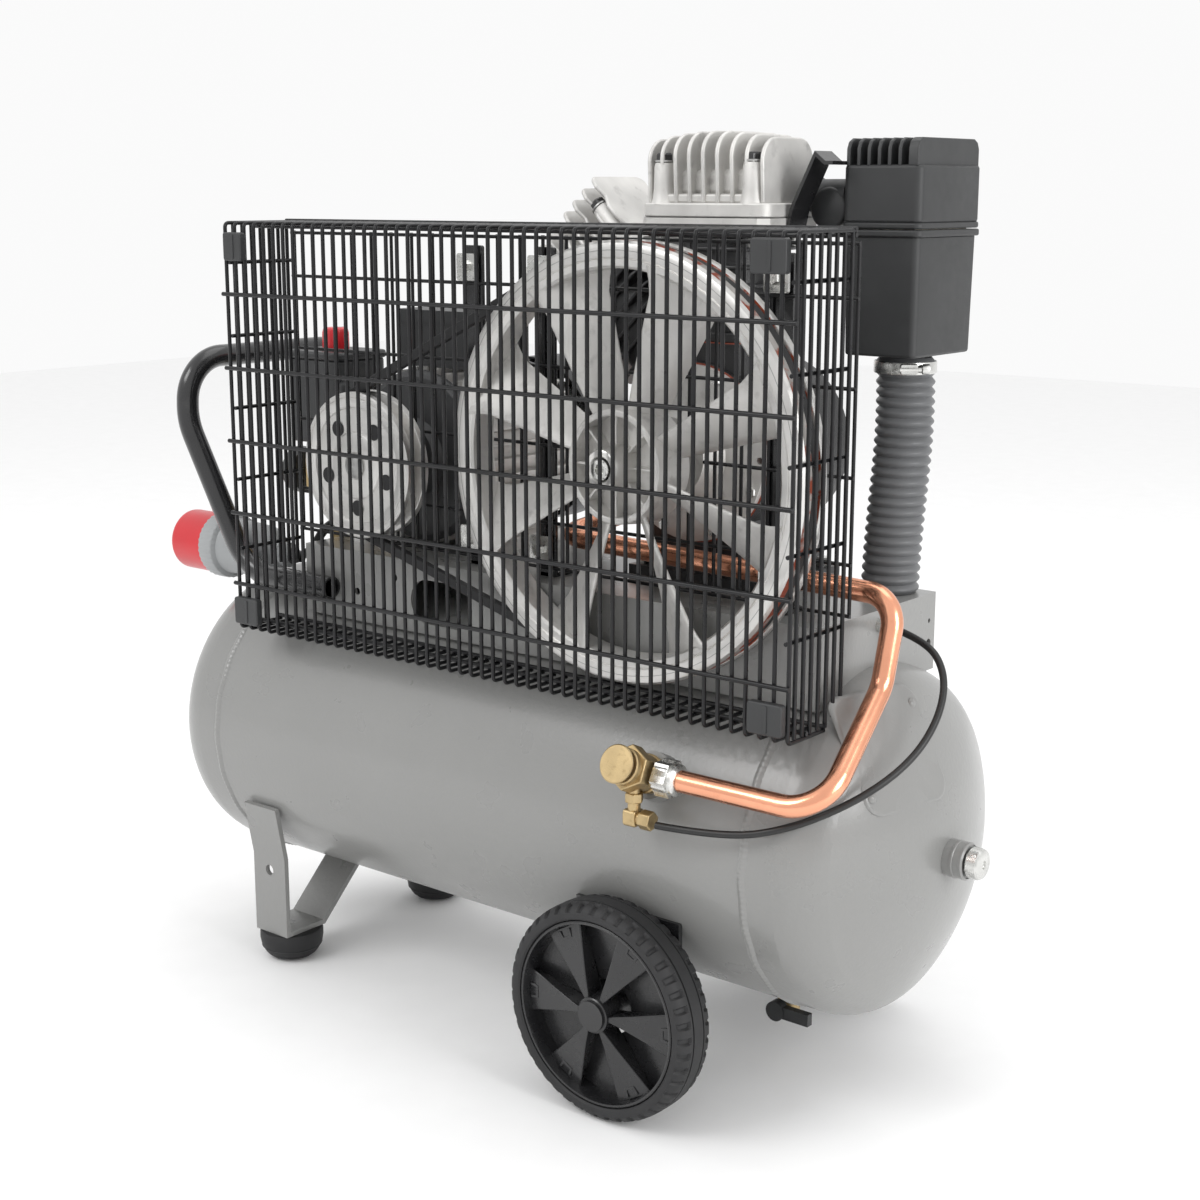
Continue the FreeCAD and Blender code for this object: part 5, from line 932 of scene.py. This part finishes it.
# ---------------------------------------------------------------- check valve, switch and gauge
def make_valve_details():
    """Hexagon faces, collars and threads on the check valve and its branch."""
    out = Vector((0, -math.cos(math.radians(24.5)), math.sin(math.radians(24.5))))
    base = Vector((212, 0, TANK_Z))
    side = Vector((1, 0, 0))
    across = out.cross(side)

    def ring(name, r0, radius, length):
        return turned(name, [(0.01, 0), (radius - 1, 0), (radius, 1), (radius, length - 1),
                             (radius - 1, length), (0.01, length)],
                      tuple(base + out * r0), out, "brass", "frame", 48)
    body = ring("valve_barrel", 162, 15.4, 44)
    ring("valve_collar", 169, 16.6, 4)
    slab("valve_hex", ngon(19.4, 6), 13, tuple(base + out * 199), across, side, "brass", bevel=1.0)
    ring("valve_cap", 211.5, 16.0, 3.2)
    ring("valve_thread", 151, 10.8, 12)

    def right_of(start, x, z=0):
        return tuple(start + Vector((x, 0, z)))
    inlet = base + out * 178
    turned("valve_inlet", [(0.01, 0), (11, 0), (11, 13), (9.6, 14), (9.6, 21), (0.01, 21)],
           tuple(inlet), (1, 0, 0), "brass", "frame", 32)
    slab("pipe_nut_hex", ngon(16, 6, 0.3), 14, right_of(inlet, 20), (0, 1, 0), (0, 0, 1), "zinc",
         bevel=1.4)
    turned("pipe_nut_collar", [(13.2, 0), (13.2, 4), (11, 6), (9.2, 6.4), (9.2, 0)],
           right_of(inlet, 33.6), (1, 0, 0), "zinc", "frame", 32, True)
    branch = inlet + out * 10
    bends = [tuple(branch), right_of(branch, 0, -24), right_of(branch, 0, -40), right_of(branch, 9, -40),
             right_of(branch, 16, -40)]
    wires("valve_branch", [bends], 5.4, "brass", sides=5)
    slab("branch_hex_up", ngon(8.0, 6), 8, right_of(branch, 0, -27), (1, 0, 0), (0, 1, 0), "brass",
         bevel=0.8)
    slab("branch_hex_elbow", rounded(14, 14, 3, 3), 12, right_of(branch, -7, -40), (0, 1, 0), (0, 0, 1),
         "brass", bevel=1.2)
    slab("branch_nut", ngon(8.4, 6, 0.2), 11, right_of(branch, 8, -40), (0, 1, 0), (0, 0, 1), "brass",
         bevel=1.0)
    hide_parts("check_valve")


make_valve_details()


def make_controls():
    """Round-edged switch box and knob, the gauge's face, and the motor's feet bolts."""
    box = shell_box("switch_body", (-344, -33, 518), (-266, 33, 602), 8, "black_plastic", 0, 2.4)
    shell_box("switch_lid", (-346, -35, 602), (-264, 35, 610), 9, "black_plastic", 0, 2.4)
    turned("switch_gland", [(0.01, -2), (9, -2), (9.4, 0), (9.4, 5), (8, 7), (8, 13), (6.6, 16),
                            (4.8, 16)], (-266, -24, 575), (1, 0, 0), "black_plastic", "frame", 32)

    def grip(turn, radius, along):
        if radius > 12.5:
            radius -= 0.5 * (0.5 + 0.5 * math.cos(turn * 18))
        return radius, along
    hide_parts("pressure_switch")
    knob = turned("red_knob", [(0.01, 22), (10, 22), (12.4, 20.6), (13.6, 17), (13.9, 4), (13.4, 0.3),
                               (0.01, 0.3)], (-305, 0, 610), (0, 0, 1), "red", "start_knob", 48, warp=grip)
    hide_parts("switch_knob")
    slab("knob_mark", rounded(2, 10, 0.8, 2), 0.4, (-305, 6, 631.8), (1, 0, 0), (0, 1, 0), "plug_grey",
         "start_knob", bevel=0.1)
    turned("gauge_dial", [(0.01, 0), (21.6, 0), (21.6, 0.6), (0.01, 0.6)], (-355, 0, 483), (-1, 0, 0),
           "paper", "frame", 48)
    for k in range(11):
        turn = math.radians(-135 + 27 * k)
        slab("gauge_tick_%d" % k, rounded(1.0, 3.6, 0.3, 1), 0.3,
             (-355.7, -18 * math.sin(turn), 483 + 18 * math.cos(turn)),
             (0, -math.cos(turn), -math.sin(turn)), (0, -math.sin(turn), math.cos(turn)), "rubber",
             bevel=0.05)
    for x in (-221, -95):
        for y in (5, 85):
            bolt_head("motor_bolt_%d_%d" % (x, y), (x, y, 441), (0, 0, 1), 13, 8)


make_controls()

# ---------------------------------------------------------------- CAD nodes that stay, with their finishes
paint("grey_paint", "tank_shell", "tank_heads", "tank_bosses", "foot_brackets", "platform")
paint("black_paint", "push_handle", "wheel_brackets", "filter_strap")
paint("copper", "delivery_pipe")
paint("zinc", "pipe_fittings", "head_bolts", "crankshaft", "ball_bearings", "gauge_needle", "motor_rotor")
paint("cast", "motor_housing", "valve_plates", "crankcase_cover", "pistons_and_rods")
paint("dark_motor", "motor_end_shields", "motor_stator")
paint("black_casting", "crankcase")
paint("black_plastic", "motor_fan_cowl", "motor_terminal_box", "regulator_knob", "gauge_case", "drain_lever")
paint("brass", "outlet_manifold", "drain_cock")
paint("glass", "oil_sight_glass")
paint("paper", "filter_element")
for NODE in ("push_handle", "delivery_pipe", "tank_shell", "tank_heads", "crankcase", "crankcase_cover",
             "motor_housing", "motor_end_shields", "motor_fan_cowl", "regulator_knob", "outlet_manifold"):
    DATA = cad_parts[NODE].data
    DATA.shade_smooth()
    DATA.set_sharp_from_angle(angle=math.radians(30))
for NODE, WIDTH in (("platform", 1.2), ("foot_brackets", 1.5), ("wheel_brackets", 1.0),
                    ("motor_terminal_box", 2.0), ("filter_strap", 0.8), ("crankcase", 2.0),
                    ("drain_lever", 1.0)):
    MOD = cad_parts[NODE].modifiers.new("edges", "BEVEL")
    MOD.width = WIDTH * MM
    MOD.segments = 2
    MOD.limit_method = "ANGLE"
    MOD.angle_limit = math.radians(50)
